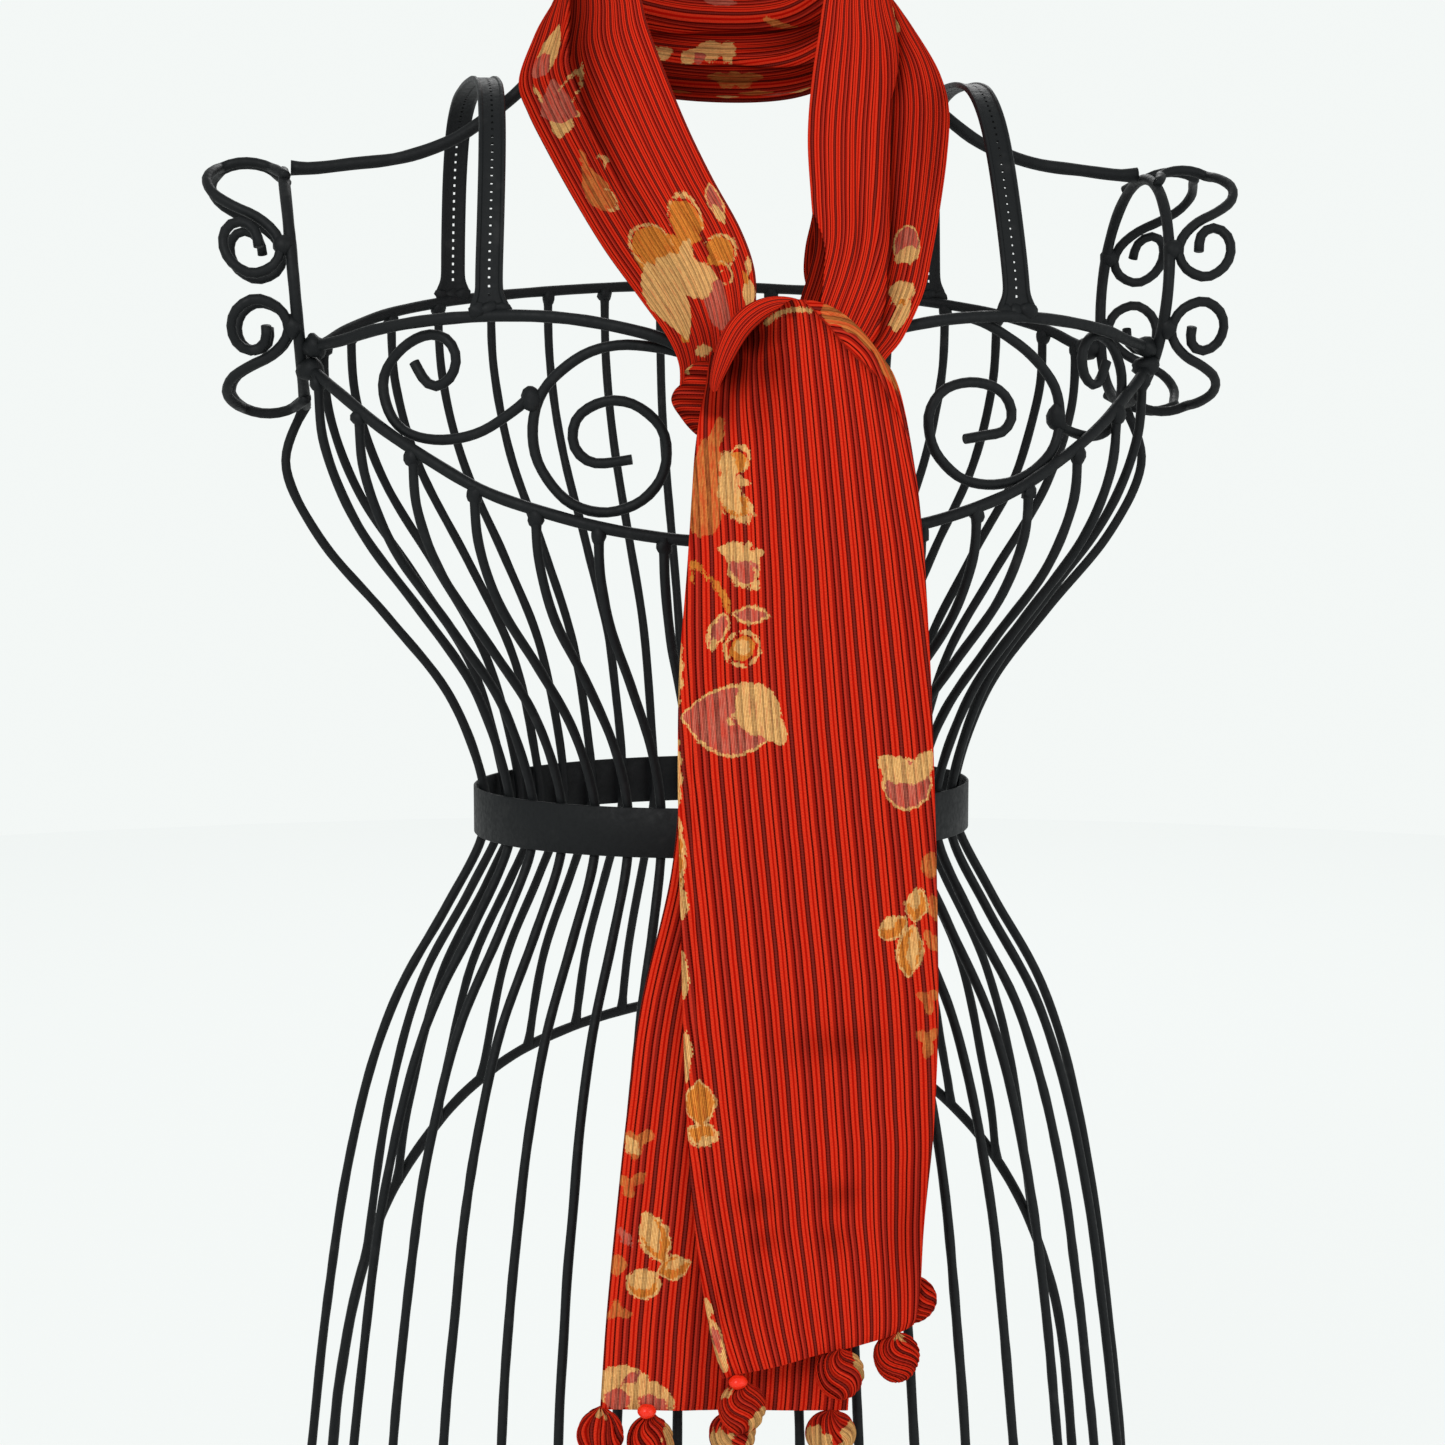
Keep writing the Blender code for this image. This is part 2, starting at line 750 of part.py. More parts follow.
def neck_back(name):
    sections = []
    layers = len(NECK_LAYERS) - 1
    for degrees, low, high, low_reach, high_reach, relief in smooth_rows(NECK_BACK, NECK_ALONG):
        turn = math.radians(degrees)
        sections.append([])
        for step, layer in enumerate(NECK_LAYERS):
            share = step / layers
            reach = low_reach + (high_reach - low_reach) * share + layer * relief
            x = -reach * math.cos(turn)
            y = max(NECK_SEAM, reach * NECK_DEPTH_SHARE * math.sin(turn))
            sections[-1].append(Vector((x, y, low + (high - low) * share)) * MM)
    return sheet(name, sections, CLOTH_THICK)


def knot_wrap(name):
    sections = []
    for height, swell in WRAP_ROWS:
        sections.append([])
        for step in range(WRAP_SEGMENTS):
            turn = 2 * math.pi * step / WRAP_SEGMENTS
            cosine, sine = math.cos(turn), math.sin(turn)
            bulge = (abs(cosine) ** WRAP_SQUARENESS + abs(sine) ** WRAP_SQUARENESS) ** (-1 / WRAP_SQUARENESS)
            half_width = WRAP_HALF[0] + swell * MM * WRAP_SWELL_SHARE[0]
            half_depth = WRAP_HALF[1] + swell * MM * WRAP_SWELL_SHARE[1]
            sections[-1].append(Vector((WRAP_MIDDLE[0] + half_width * bulge * cosine,
                                        WRAP_MIDDLE[1] + half_depth * bulge * sine, height * MM)))
    return sheet(name, sections, CLOTH_THICK, closed=True)


def front_tail_point(row, share):
    left, right, end_z, arch, depth, crown, curl, tilt = row
    x = left + (right - left) * share
    z = end_z + arch * (1 - abs(2 * share - 1) ** ARCH_SQUARENESS) + tilt * share
    turned_back = max(0.0, share - CURL_FROM) / (1 - CURL_FROM)
    y = depth - crown * math.sin(math.pi * share) ** CROWN_FULLNESS + curl * turned_back ** 2
    return Vector((x, y, z)) * MM


def back_tail_point(row, share):
    left, right, z, depth, crown, drop = row
    x = left + (right - left) * share
    y = depth - crown * math.sin(math.pi * share)
    return Vector((x, y, z + drop * share)) * MM


def tail(name, table, point_at, grid):
    across, along = grid
    sections = []
    for row in smooth_rows(table, along):
        sections.append([point_at(row, step / across) for step in range(across + 1)])
    return sheet(name, sections, CLOTH_THICK)


def ball(name, centre, stem):
    """A wound ball; its top is drawn up into the stem that the thread hangs by."""
    mesh = bpy.data.meshes.new(name)
    shape = bmesh.new()
    round_it, down = BALL_SEGMENTS
    bmesh.ops.create_uvsphere(shape, u_segments=round_it, v_segments=down, radius=BALL_RADIUS)
    shape.verts.ensure_lookup_table()
    top = max(shape.verts, key=lambda vert: vert.co.z)
    top.co.z += stem
    shape.to_mesh(mesh)
    shape.free()
    mesh.shade_smooth()
    obj = bpy.data.objects.new(name, mesh)
    obj.location = centre
    bpy.context.scene.collection.objects.link(obj)
    return obj


def build_form(collection, iron):
    band_half = tuple(size + UPRIGHT_RADIUS + TOUCH + BAND_SLACK + BAND_THICK for size in WAIST_HALF)
    parts = [
        strip_ring("waist_band", band_half, WAIST_Z - BAND_HEIGHT / 2, WAIST_Z + BAND_HEIGHT / 2, BAND_THICK,
                   BAND_SEGMENTS),
        skirt_arch_and_hem("hem_and_arch"),
        bust_rail("front_rail", FRONT_RAIL),
        bust_rail("under_bust_rail", UNDER_BUST_RAIL),
        bust_rail("back_rail", BACK_RAIL, back=True),
        shoulder_rail("shoulder_rail"),
        sleeve("sleeve_left", -1),
        sleeve("sleeve_right", 1),
        bust_scroll("bust_scroll_left", -1, 0.0, BIG_SPIRAL, SMALL_SCROLL),
        bust_scroll("bust_scroll_right", 1, RIGHT_SCROLL_TURN, RIGHT_BIG_SPIRAL, RIGHT_SMALL_SCROLL),
        strap("strap_left", -1),
        strap("strap_right", 1),
    ]
    parts += build_uprights()
    for part in parts:
        finish(part, iron, collection)


def butt_height(point_at, place, step, under):
    """Height of an upright's end that meets a rail at a place, under it or on top of it."""
    before, after = point_at(place - step), point_at(place + step)
    away = butt_distance(before, after)
    return (before.z + after.z) / 2 + (-away if under else away)


def bust_rail_point(table):
    rows = rail_rows(table, RAIL_SEGMENTS)
    return lambda aside: on_bust(aside * MM, interpolate(rows, aside)[0] * MM)


def arch_point(degrees):
    return skirt_point(degrees, interpolate(rail_rows(SKIRT_ARCH, ARCH_SEGMENTS), degrees)[0] * MM)


def build_uprights():
    wires = []
    hem_top = HEM_HEIGHT + TOUCH + HEM_SLACK
    for side in (-1, 1):
        for degrees in FRONT_UPRIGHTS:
            aside = BUST_HALF[0] * math.sin(math.radians(degrees)) / MM
            top = butt_height(bust_rail_point(UNDER_BUST_RAIL), aside, RAIL_STEP, under=True)
            wires.append((side * degrees, top, hem_top, None))
        for degrees in SIDE_UPRIGHTS:
            depth = BUST_HALF[1] * math.cos(math.radians(degrees))
            turn = -math.acos(-depth / ARMHOLE_HALF_DEPTH)
            top = butt_height(lambda place: armhole(side, place), turn, ARMHOLE_STEP, under=True)
            wires.append((side * degrees, top, hem_top, abs(armhole(side, turn).x)))
        for degrees in BACK_UPRIGHTS:
            aside = BUST_HALF[0] * math.sin(math.radians(degrees)) / MM
            top = butt_height(bust_rail_point(BACK_RAIL), aside, RAIL_STEP, under=True)
            bottom = butt_height(arch_point, degrees, ARCH_STEP, under=False)
            wires.append((side * (180 - degrees), top, bottom, None))
    return [upright("upright_%02d" % number, *wire) for number, wire in enumerate(wires, 1)]


def build_scarf(collection, silk):
    parts = [
        strand("left_strand", LEFT_STRAND),
        strand("right_strand", RIGHT_STRAND),
        neck_back("neck_back"),
        knot_wrap("knot_wrap"),
        tail("front_tail", FRONT_TAIL, front_tail_point, FRONT_TAIL_GRID),
        tail("back_tail", BACK_TAIL, back_tail_point, BACK_TAIL_GRID),
    ]
    hang = BALL_RADIUS + TOUCH
    for number, (share, stem) in enumerate(FRONT_BALLS, 1):
        hem = front_tail_point(FRONT_TAIL[-1], share)
        parts.append(ball("front_ball_%d" % number, hem - Vector((0, 0, hang + stem * MM)), stem * MM))
    parts.append(ball("front_ball_4", Vector(CORNER_BALL) * MM, 0.0))
    for number, (share, stem) in enumerate(BACK_BALLS, 1):
        hem = back_tail_point(BACK_TAIL[-1], share)
        parts.append(ball("back_ball_%d" % number, hem - Vector((0, 0, hang + stem * MM)), stem * MM))
    for part in parts:
        finish(part, silk, collection)


def main():
    clear_scene()
    collection = bpy.data.collections.new("silk_scarf_on_dress_form")
    bpy.context.scene.collection.children.link(collection)
    iron = new_material("black_iron", *IRON_FINISH)
    silk = new_material("red_silk", *SILK_FINISH)
    build_form(collection, iron)
    build_scarf(collection, silk)


main()
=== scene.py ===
import math
import bpy
import numpy as np
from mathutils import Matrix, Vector


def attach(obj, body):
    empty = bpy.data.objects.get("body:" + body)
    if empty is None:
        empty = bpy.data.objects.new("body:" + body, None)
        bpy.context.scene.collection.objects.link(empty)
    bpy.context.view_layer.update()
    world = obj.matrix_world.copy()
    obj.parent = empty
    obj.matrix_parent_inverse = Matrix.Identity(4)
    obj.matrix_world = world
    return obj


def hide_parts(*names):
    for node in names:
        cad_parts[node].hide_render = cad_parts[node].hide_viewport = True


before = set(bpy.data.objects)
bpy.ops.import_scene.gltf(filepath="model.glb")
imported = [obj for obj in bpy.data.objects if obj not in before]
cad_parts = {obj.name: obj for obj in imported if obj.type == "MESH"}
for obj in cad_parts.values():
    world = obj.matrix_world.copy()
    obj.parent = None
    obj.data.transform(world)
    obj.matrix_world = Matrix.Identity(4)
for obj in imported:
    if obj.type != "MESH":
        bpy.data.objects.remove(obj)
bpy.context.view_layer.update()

MM = 0.001

# Wires and steel strips
UPRIGHT_RADIUS = 2.25 * MM
RAIL_RADIUS = 2.65 * MM
SCROLL_RADIUS = 2.35 * MM
SHOULDER_RADIUS = 3.0 * MM
TOUCH = 0.3 * MM
BAND_HEIGHT = 23.0 * MM
BAND_THICK = 1.4 * MM
HEM_HEIGHT = 10.0 * MM
HEM_THICK = 6.0 * MM

# Body of the form: half width along X and half depth along Y
BUST_HALF = (209 * MM, 130 * MM)
WAIST_HALF = (116 * MM, 85 * MM)
WAIST_Z = 545 * MM
HEM_HALF = (225 * MM, 186 * MM)

# How far a wire has swung out from waist to bust: share of the height, share of the swing
BODICE = (
    # height, swing
    (0.00, 0.00), (0.11, 0.00), (0.19, 0.07), (0.26, 0.13), (0.38, 0.30), (0.53, 0.56), (0.68, 0.82),
    (0.80, 0.95), (0.90, 1.00), (1.00, 1.00),
)

# Skirt of the form below the waist, in millimetres
SKIRT = (
    # height, half width, half depth
    (545, 116.0, 85.0), (532, 116.4, 85.4), (505, 129.0, 96.0), (480, 146.0, 111.0), (455, 159.0, 122.0),
    (423, 170.0, 132.0), (379, 182.0, 140.0), (327, 191.0, 146.0), (283, 197.0, 149.5), (238, 203.0, 154.0),
    (120, 214.0, 169.0), (0, 225.0, 186.0),
)

# Rails on the bust, one half each, in millimetres: distance from the middle and height
FRONT_RAIL = (
    # aside, height
    (0, 741), (14, 749), (28, 758), (41, 767), (62, 773), (87, 777), (114, 778), (142, 776), (166, 772),
    (181, 767.5), (192.5, 765),
)
UNDER_BUST_RAIL = (
    # aside, height
    (0, 680), (32, 681), (62, 685), (88, 691), (118, 701), (143, 715), (163, 728.5), (179, 742),
    (188, 749.5), (194.5, 755),
)
BACK_RAIL = (
    # aside, height
    (0, 796), (25, 796), (67, 794), (109, 790), (150, 783), (175, 774), (186, 767.5), (192.5, 764),
)
SKIRT_ARCH = (
    # degrees round from the back, height
    (0, 418), (9, 416), (24, 405), (37, 388), (49, 362), (59, 330), (66, 290), (69, 240), (70, 120),
    (70, 6),
)

# Angles of the uprights from the front, in degrees, on each side
FRONT_UPRIGHTS = (4, 12, 20, 28, 36.5, 46, 56, 66)
SIDE_UPRIGHT = 90
BACK_UPRIGHTS = (4, 12, 20.5, 29.5, 38.5, 47.5, 56.5, 64)

# Armhole ring and its scrolls
ARMHOLE_HALF_DEPTH = 58 * MM
ARMHOLE_HALF_HEIGHT = 53.5 * MM
ARMHOLE_Z = 791.5 * MM
ARMHOLE_ASIDE = 201 * MM
ARMHOLE_LEAN = 4 * MM
SLEEVE_SCROLL = (
    # outward from the ring, above the ring's middle, both in millimetres
    (-1.0, 50.0), (8.0, 56.0), (19.0, 57.5), (29.0, 54.5), (34.5, 48.5), (32.0, 41.5), (24.0, 36.0),
    (14.0, 31.0), (6.5, 24.0), (4.4, 16.5), (8.5, 9.0), (18.0, 5.6), (26.5, 10.5), (29.5, 18.5),
    (27.0, 26.0), (20.5, 28.5), (15.0, 24.5), (14.0, 17.5),
)

# Scrolls of the bust, in millimetres: distance from the middle of the front and height
BIG_SPIRAL = (
    # aside, height
    (58, 716), (75, 714.5), (83.5, 722), (82, 734), (70.5, 741), (57.5, 740), (46, 731), (42.5, 719.5),
    (45.5, 707), (55.5, 697), (71, 693), (86.5, 698), (98, 712), (101.5, 726), (99.5, 740), (92.5, 751),
    (78.5, 761.5), (63.5, 765.5), (47.5, 764.5), (36, 762),
)
SMALL_SCROLL = (
    # aside, height
    (153, 758), (148, 749.5), (142.5, 747.5), (136.5, 752), (134.5, 760.5), (138.5, 768), (147, 770),
    (157, 765), (165, 755), (166.5, 745), (162.5, 733), (154, 726), (140, 724), (124.5, 727.5),
    (109.5, 737), (101.5, 744),
)

# The right breast's big spiral is wider and runs up behind the front rail
RIGHT_BIG_SPIRAL = (
    # aside, height
    (65.5, 724), (77, 725.5), (86.5, 727), (91.5, 733.5), (88.5, 742), (79.5, 747.5), (66.5, 749),
    (54, 745.5), (47, 736.5), (47, 726), (51.5, 716.5), (63, 707), (77, 703.5), (92, 704.5), (106, 710),
    (116.5, 719), (120.5, 731), (118.5, 744), (111.5, 753.5), (100.5, 762.5), (88, 769.5), (76, 775),
    (66, 778),
)
RIGHT_SMALL_SCROLL = (*SMALL_SCROLL[:-2], (120, 731))

# Scrolls of each side: their tables, the weld between them and their turn round the bust in degrees
LEFT_SCROLLS = ((BIG_SPIRAL, SMALL_SCROLL), (101.5, 742), 0.0)
RIGHT_SCROLLS = ((RIGHT_BIG_SPIRAL, RIGHT_SMALL_SCROLL), (119.5, 732), 9.0)

# Shoulder rail and neck ring
SHOULDER_RAIL = (
    # aside, height, in millimetres
    (201.8, 847), (192, 847), (175, 849), (151, 852), (128, 860), (112, 870), (94, 885), (81, 904),
    (71, 925), (60, 946), (50, 966), (46, 984),
)
NECK_RING_RADIUS = 46 * MM
NECK_RING_Z = 986 * MM

# Strap over the shoulder: depth, height and distance aside, in millimetres
STRAP = (
    # depth, height, aside
    (-107.4, 781.1, 117.0), (-105, 795, 117.0), (-97, 822, 115.5), (-86, 848, 114.0), (-72, 867, 113.0),
    (-52, 880, 112.5), (-25, 886, 113.0), (8, 888, 114.0), (45, 888, 115.5), (75, 884, 117.5),
    (94, 872, 119.5), (103, 850, 121.0), (106, 820, 122.0), (106.0, 791.6, 122.5),
)

# Scarf
BALL_RADIUS = 10.5 * MM

# Strands from the side of the neck to the knot. Outer and inner edge of each section, how far its
# middle crowns forward, and its valley fold: place across from the outer edge and depth
LEFT_STRAND = (
    # outer x, y, z, inner x, y, z, crown, fold place, fold depth
    (-75.6, -0.6, 926, -56, -0.6, 966, 2.0, 0.30, 0.0), (-79, -6, 920, -53.5, -12, 955, 4.0, 0.28, 0.5),
    (-88, -12, 904, -43, -26, 930, 6.0, 0.28, 3.0), (-95, -15, 885, -39.5, -39, 910, 7.0, 0.33, 5.0),
    (-92, -27, 870, -33.5, -54, 888, 7.5, 0.34, 5.5), (-86, -50, 852, -26, -72, 863, 8.0, 0.32, 5.0),
    (-77, -79, 829, -17.5, -93, 838, 8.0, 0.30, 3.5), (-66, -104, 806, -8, -110, 815, 8.0, 0.28, 2.0),
    (-53, -124, 785, -4, -123, 797, 7.0, 0.30, 1.0), (-43, -137, 769, -5, -134, 781, 4.5, 0.40, 0.5),
    (-38.4, -141, 757, -6, -140.5, 765, 1.5, 0.50, 0.5),
    (-38.6, -142.6, 746, -7, -142.6, 748, 0.3, 0.50, 0.0),
)
RIGHT_STRAND = (
    # outer x, y, z, inner x, y, z, crown, fold place, fold depth
    (75.6, -0.6, 926, 56, -0.6, 966, 2.0, 0.30, 0.0), (83, -7, 921, 54, -12, 955, 4.0, 0.25, 1.5),
    (93, -11, 907, 45, -27, 928, 6.0, 0.27, 4.0), (102, -13, 891, 39, -42, 906, 7.0, 0.35, 6.0),
    (104, -23, 874, 33.5, -56, 882, 8.0, 0.40, 6.5), (98, -47, 851, 29, -74, 856, 8.5, 0.42, 6.5),
    (88, -77, 823, 28, -90, 829, 8.5, 0.40, 6.0), (79, -104, 804, 26.5, -107, 809, 8.0, 0.36, 5.5),
    (71, -124, 787, 21, -122, 794, 7.0, 0.32, 4.5), (60, -134, 768, 14, -134, 779, 4.5, 0.30, 2.5),
    (50, -141.4, 757, 9, -140.5, 764, 1.5, 0.30, 1.0), (50.9, -142.6, 746, 10, -142.6, 748, 0.3, 0.40, 0.0),
)

# Back of the neck: share of the way round, lower edge, upper edge and their half sizes in plan
NECK_BACK = (
    # degrees round, lower z, upper z, lower reach, upper reach, relief
    (0, 926, 966, 75.6, 56, 0.0), (18, 914, 962, 81, 66, 0.5), (38, 902, 958, 85, 73, 1.0),
    (60, 893, 950, 85, 76, 1.0), (90, 888, 945, 84, 77, 1.0), (120, 889, 946, 85, 76, 1.0),
    (142, 899, 956, 85, 73, 1.0), (162, 912, 962, 81, 66, 0.5), (180, 926, 966, 75.6, 56, 0.0),
)
NECK_DEPTH_SHARE = 0.97
NECK_SEAM = 0.5
NECK_LAYERS = (0.0, 5.0, -1.5, -4.0, 3.5, 4.0, -3.5, -1.0, 3.0, 0.0)

# Wrap round the knot, in millimetres
WRAP_Y = -143.2
WRAP_SQUARENESS = 3.0

# Tail that folds over the knot and hangs in front, from its start inside the knot to its hem
FRONT_TAIL = (
    # left x, right x, end z, arch, depth y, crown, right edge curl, tilt
    (-10, 24, 744, 0.5, -148.5, 0.0, 0, 0.0), (-14, 28, 752, 4.0, -148.7, 0.0, 0, 0.0),
    (-25, 40, 760, 16.0, -151.5, 0.0, 0, 0.0), (-28, 48, 755, 28.0, -157.0, 0.0, 0, 0.0),
    (-30, 52, 746, 35.0, -162.5, 0.5, 0, 0.0), (-33, 55, 734, 38.0, -166.0, 2.0, 1, 0.0),
    (-35.5, 58, 718, 33.0, -168.0, 3.5, 2, 0.0), (-37, 61, 699, 20.0, -169.0, 4.0, 3, 0.0),
    (-39, 64, 670, 8.0, -169.5, 4.0, 3, 0.0), (-42.5, 67, 625, 2.0, -170.0, 3.5, 3, 0.0),
    (-43, 69, 574, 0.0, -170.0, 3.0, 3, 0.0), (-42, 70.5, 520, 0.0, -170.0, 3.0, 3, 0.0),
    (-41, 71, 470, 0.0, -170.5, 4.5, 4, 0.0), (-39, 69.5, 425, 0.0, -170.5, 2.0, 5, 3.0),
    (-36, 66, 382, 0.0, -173.0, 4.0, 7, 8.0), (-31, 64, 345, 0.0, -175.5, 3.0, 8, 13.0),
    (-25, 61, 320, 0.0, -177.0, 1.5, 8, 18.0),
)

# Tail that hangs behind the other, from the knot to its hem
BACK_TAIL = (
    # left x, right x, z, depth y, crown, right drop
    (-20, 30, 745, -138.0, 0.0, 0.0), (-20, 32, 731, -138.3, 0.0, 0.0), (-26, 42, 715, -147.0, 1.0, 0.0),
    (-31, 50, 690, -153.5, 2.0, 0.0), (-36, 56, 640, -157.5, 2.5, 0.0), (-40, 60, 590, -160.0, 2.5, 0.0),
    (-45, 61, 540, -161.0, 2.5, 0.0), (-58, 51, 484, -161.5, 2.0, 0.0), (-64, 45, 440, -161.8, 2.0, 0.0),
    (-69, 41, 395, -162.2, 2.0, 0.0), (-74, 36, 345, -163.0, 1.5, -2.0), (-77, 33, 304, -164.0, 0.5, -6.0),
)

# Balls hung from the hems: place across the hem from its left corner, stem length in millimetres
FRONT_BALLS = (
    # share across, stem
    (0.10, 4.5), (0.60, 0.0), (0.90, 0.0),
)
CORNER_BALL = (63.5, -156.7, 345.0)
BACK_BALLS = (
    # share across, stem
    (0.0, 0.0), (0.20, 3.5), (0.53, 0.5), (0.93, 0.0),
)

BODICE_STEPS = (1.0, 0.85, 0.67, 0.48, 0.29)
ABOVE_BAND_Z = WAIST_Z + BAND_HEIGHT / 2 + 2 * MM
SKIRT_STEPS = (532, 497, 450, 385, 295, 165)

# Camera that took the photograph
CAMERA_PLACE = (-0.1948, -1.3864, 0.7615)
CAMERA_TURN = (82.8, 0.0, -8.0)
CAMERA_LENS = 72.67

# Wire finish
WIRE_STEP = 4.0 * MM
WIRE_WANDER = 0.18 * MM
FLARE_REACH = 4.5 * MM
FOOT_SINK = 2.0 * MM
BAND_EASE = 0.4 * MM

# Half sizes of the weld beads
UPRIGHT_WELD = (0.0036, 0.0036, 0.0042)
RAIL_WELD = (0.006, 0.0055, 0.005)
SLEEVE_WELD = (0.0042, 0.004, 0.005)
SCROLL_WELD = (0.0045, 0.004, 0.006)
STRAP_WELD = (0.0042, 0.0026, 0.0034)

# Shoulder strap
STRAP_STEP = 1.3 * MM
STRAP_PROFILE = (
    # aside, thickness above and below the strap's middle, in millimetres
    (-6.0, 0.7, 0.7), (-5.4, 1.5, 1.0), (-4.4, 1.5, 1.0), (-3.8, 0.8, 0.8), (-0.5, 0.8, 0.8),
    (0.5, 0.8, 0.8), (3.8, 0.8, 0.8), (4.4, 1.5, 1.0), (5.4, 1.5, 1.0), (6.0, 0.7, 0.7),
)
STRAP_SLOT_COLUMN = 4
STRAP_SLOT_ROWS = 3

# Cloth, in millimetres
FLAT_WIDTH = 110.0
CLOTH_STEP = 1.3
FRONT_PITCH = 1.25
REAR_PITCH = 3.0
HEM_FADE = 4.0
HALF_CLOTH = 1.15
RIM = 1.8
EDGE_PLUMP = 0.55
EDGE_PLACES = np.array([0.0, 0.25, 0.8, 1.7])
FORWARD = np.array([0.0, -0.93, 0.37])
FRONT_TOP = 30.0
FRONT_DENTS = (
    # x, z, half width, half height, depth
    (-13, 757, 9, 10, 5.5), (-5, 768, 6, 6, 3.0), (-17, 742, 8, 12, 3.0), (14, 470, 30, 14, 1.6),
    (-6, 384, 14, 11, 2.6), (24, 388, 16, 10, 2.2), (52, 372, 12, 22, 2.0), (30, 420, 28, 13, -1.8),
    (-24, 560, 10, 60, 0.8),
)
TUCK = (
    # left x, y, z, half width
    (29.5, -80.0, 830, 1.5), (28.0, -87.0, 822, 3.5), (23.5, -97.0, 809, 5.5), (21.2, -106.0, 797, 6.0),
    (22.0, -115.0, 787, 5.0), (23.0, -122.0, 778, 4.0),
)
SHOULDER_EDGE = (
    # x, z
    (12, 779), (22, 778.5), (31, 777), (38, 773), (45.5, 765), (50.5, 754), (54, 742), (57.5, 726),
    (60, 708),
)
FRONT_LEAN = 0.075
SHOULDER_TURN = 17.0
EDGE_ROLL = (
    # x, y, z, radius
    (-26.6, -163.5, 741, 0.8), (-26.2, -165.8, 749, 2.3), (-24.0, -166.6, 756.5, 3.6),
    (-21.0, -166.6, 764, 4.5), (-17.0, -165.6, 771, 4.9), (-12.0, -164.2, 776.3, 4.8),
    (-6.0, -162.4, 780.2, 4.2), (0.5, -160.2, 782.4, 3.2), (8.0, -157.4, 782.8, 2.2),
    (14.0, -155.4, 781.3, 1.4),
)
ROLL_AROUND = 78.0
WRAP_SKIN = (
    # z, left x, right x, half depth
    (725.0, -27, 44, 6.4), (727.5, -31, 47, 8.2), (731.0, -34.5, 49, 9.2), (735.0, -37.5, 50, 9.7),
    (739.0, -40.2, 51, 9.9), (742.5, -41.2, 52, 10.0), (746.0, -39.8, 51.5, 10.0), (748.5, -37.4, 50, 9.4),
    (751.0, -36.6, 50, 9.0), (754.0, -36.2, 48, 9.2), (757.5, -31.5, 44, 6.8),
)

# Creases of the strands
LEFT_CREASES = (
    # depth, across, slant, along at that place, half width, along its middle, half length
    (1.6, 72, 0.06, 150, 5, 190, 45), (1.0, 46, 0.08, 170, 6, 205, 35),
)
RIGHT_CREASES = (
    # the same
    (1.2, 78, -0.05, 100, 6, 165, 60), (1.3, 18, 0.05, 170, 5, 210, 40),
)

# Sharp folds as places along and across: one layer lies over the other there and shades it
LEFT_FOLD = ((0, 28), (36, 35), (58, 42), (76, 41), (104, 37), (134, 38), (175, 43))
RIGHT_FOLD = ((0, 30), (27, 31), (84, 52), (146, 47.5), (196, 43), (227, 27), (258, 24))
NECK_UPPER_FOLD = ((0, 60), (80, 56), (100, 57), (132, 64), (160, 68), (197, 59), (265, 60))
NECK_LOWER_FOLD = ((0, 26), (80, 27), (106, 29), (150, 33), (194, 23), (265, 24))
MITRE = (
    # height, x of the seam where the shoulder's turned edge meets the upright stripes
    (718, 60.0), (735, 52.0), (752.5, 42.3), (763, 30.3), (775, 19.6), (783, 13.0),
)
TOP_EDGE = ((-4.5, 774.5), (-1.0, 777.3), (4.0, 779.4), (9.0, 780.0), (14.0, 779.6))
# Painted shade of the front tail: dark in the hollows of the knot under the roll and in the dents lower down
TAIL_HOLLOWS = (
    # x, z, degrees, half length, half width, darkness
    (-10.0, 767, 50, 18, 10.0, 1.0), (-17.0, 755, 64, 18, 9.0, 0.97), (-21.5, 742, 78, 15, 5.5, 0.60),
    (-5.0, 757, 85, 16, 9.0, 0.62), (-8.0, 746, 88, 16, 9.0, 0.35),
)
TAIL_DENTS = (
    # across, along, half width, half length, darkness
    (64, 365, 22, 8, 0.30), (28, 432, 9, 6, 0.34), (68, 432, 10, 6, 0.34), (31, 449, 9, 6, 0.30),
    (64, 452, 8, 7, 0.30), (12, 470, 12, 14, 0.22), (100, 455, 9, 30, 0.25),
)

# Threads of the stripes, as linear colour, and where each ends across the repeat in millimetres
THREADS = {
    "maroon": (0.150, 0.0145, 0.0105),
    "edge": (0.068, 0.0022, 0.0012),
    "bright": (0.580, 0.0280, 0.0100),
    "deep": (0.360, 0.0040, 0.0010),
    "black": (0.050, 0.0016, 0.0010),
    "rose": (0.260, 0.0085, 0.0042),
    "coral": (0.450, 0.0270, 0.0135),
    "wine": (0.215, 0.0110, 0.0065),
}
STRIPES = (
    # thread, end
    ("maroon", 0.45), ("edge", 1.08), ("bright", 2.35), ("deep", 3.10), ("bright", 4.12), ("black", 4.92),
    ("bright", 6.25), ("rose", 7.50), ("black", 8.32), ("coral", 9.30), ("wine", 10.45), ("black", 11.20),
    ("bright", 12.40), ("deep", 13.30), ("bright", 14.37), ("edge", 15.00), ("maroon", 15.45),
)
STRIPE_REPEAT = 15.45 * MM
STRIPE_BLEND = 0.12
RAMP_LIMIT = 30
DASH_PITCH = 1.3 * MM
RIB_PITCH = 0.66 * MM
WEAVE_PITCH = 0.7 * MM
STEP_SIZES = (0.62 * MM, 1.0 * MM)
OUTLINE = 1.15
WOBBLE = 0.55
STREAK_STRETCH = 0.12
STROKE = 0.75
AREAS = ("faint", "cream", "pink", "gold", "heart")
FAR = 50.0
TUCK_SHADE = 0.72
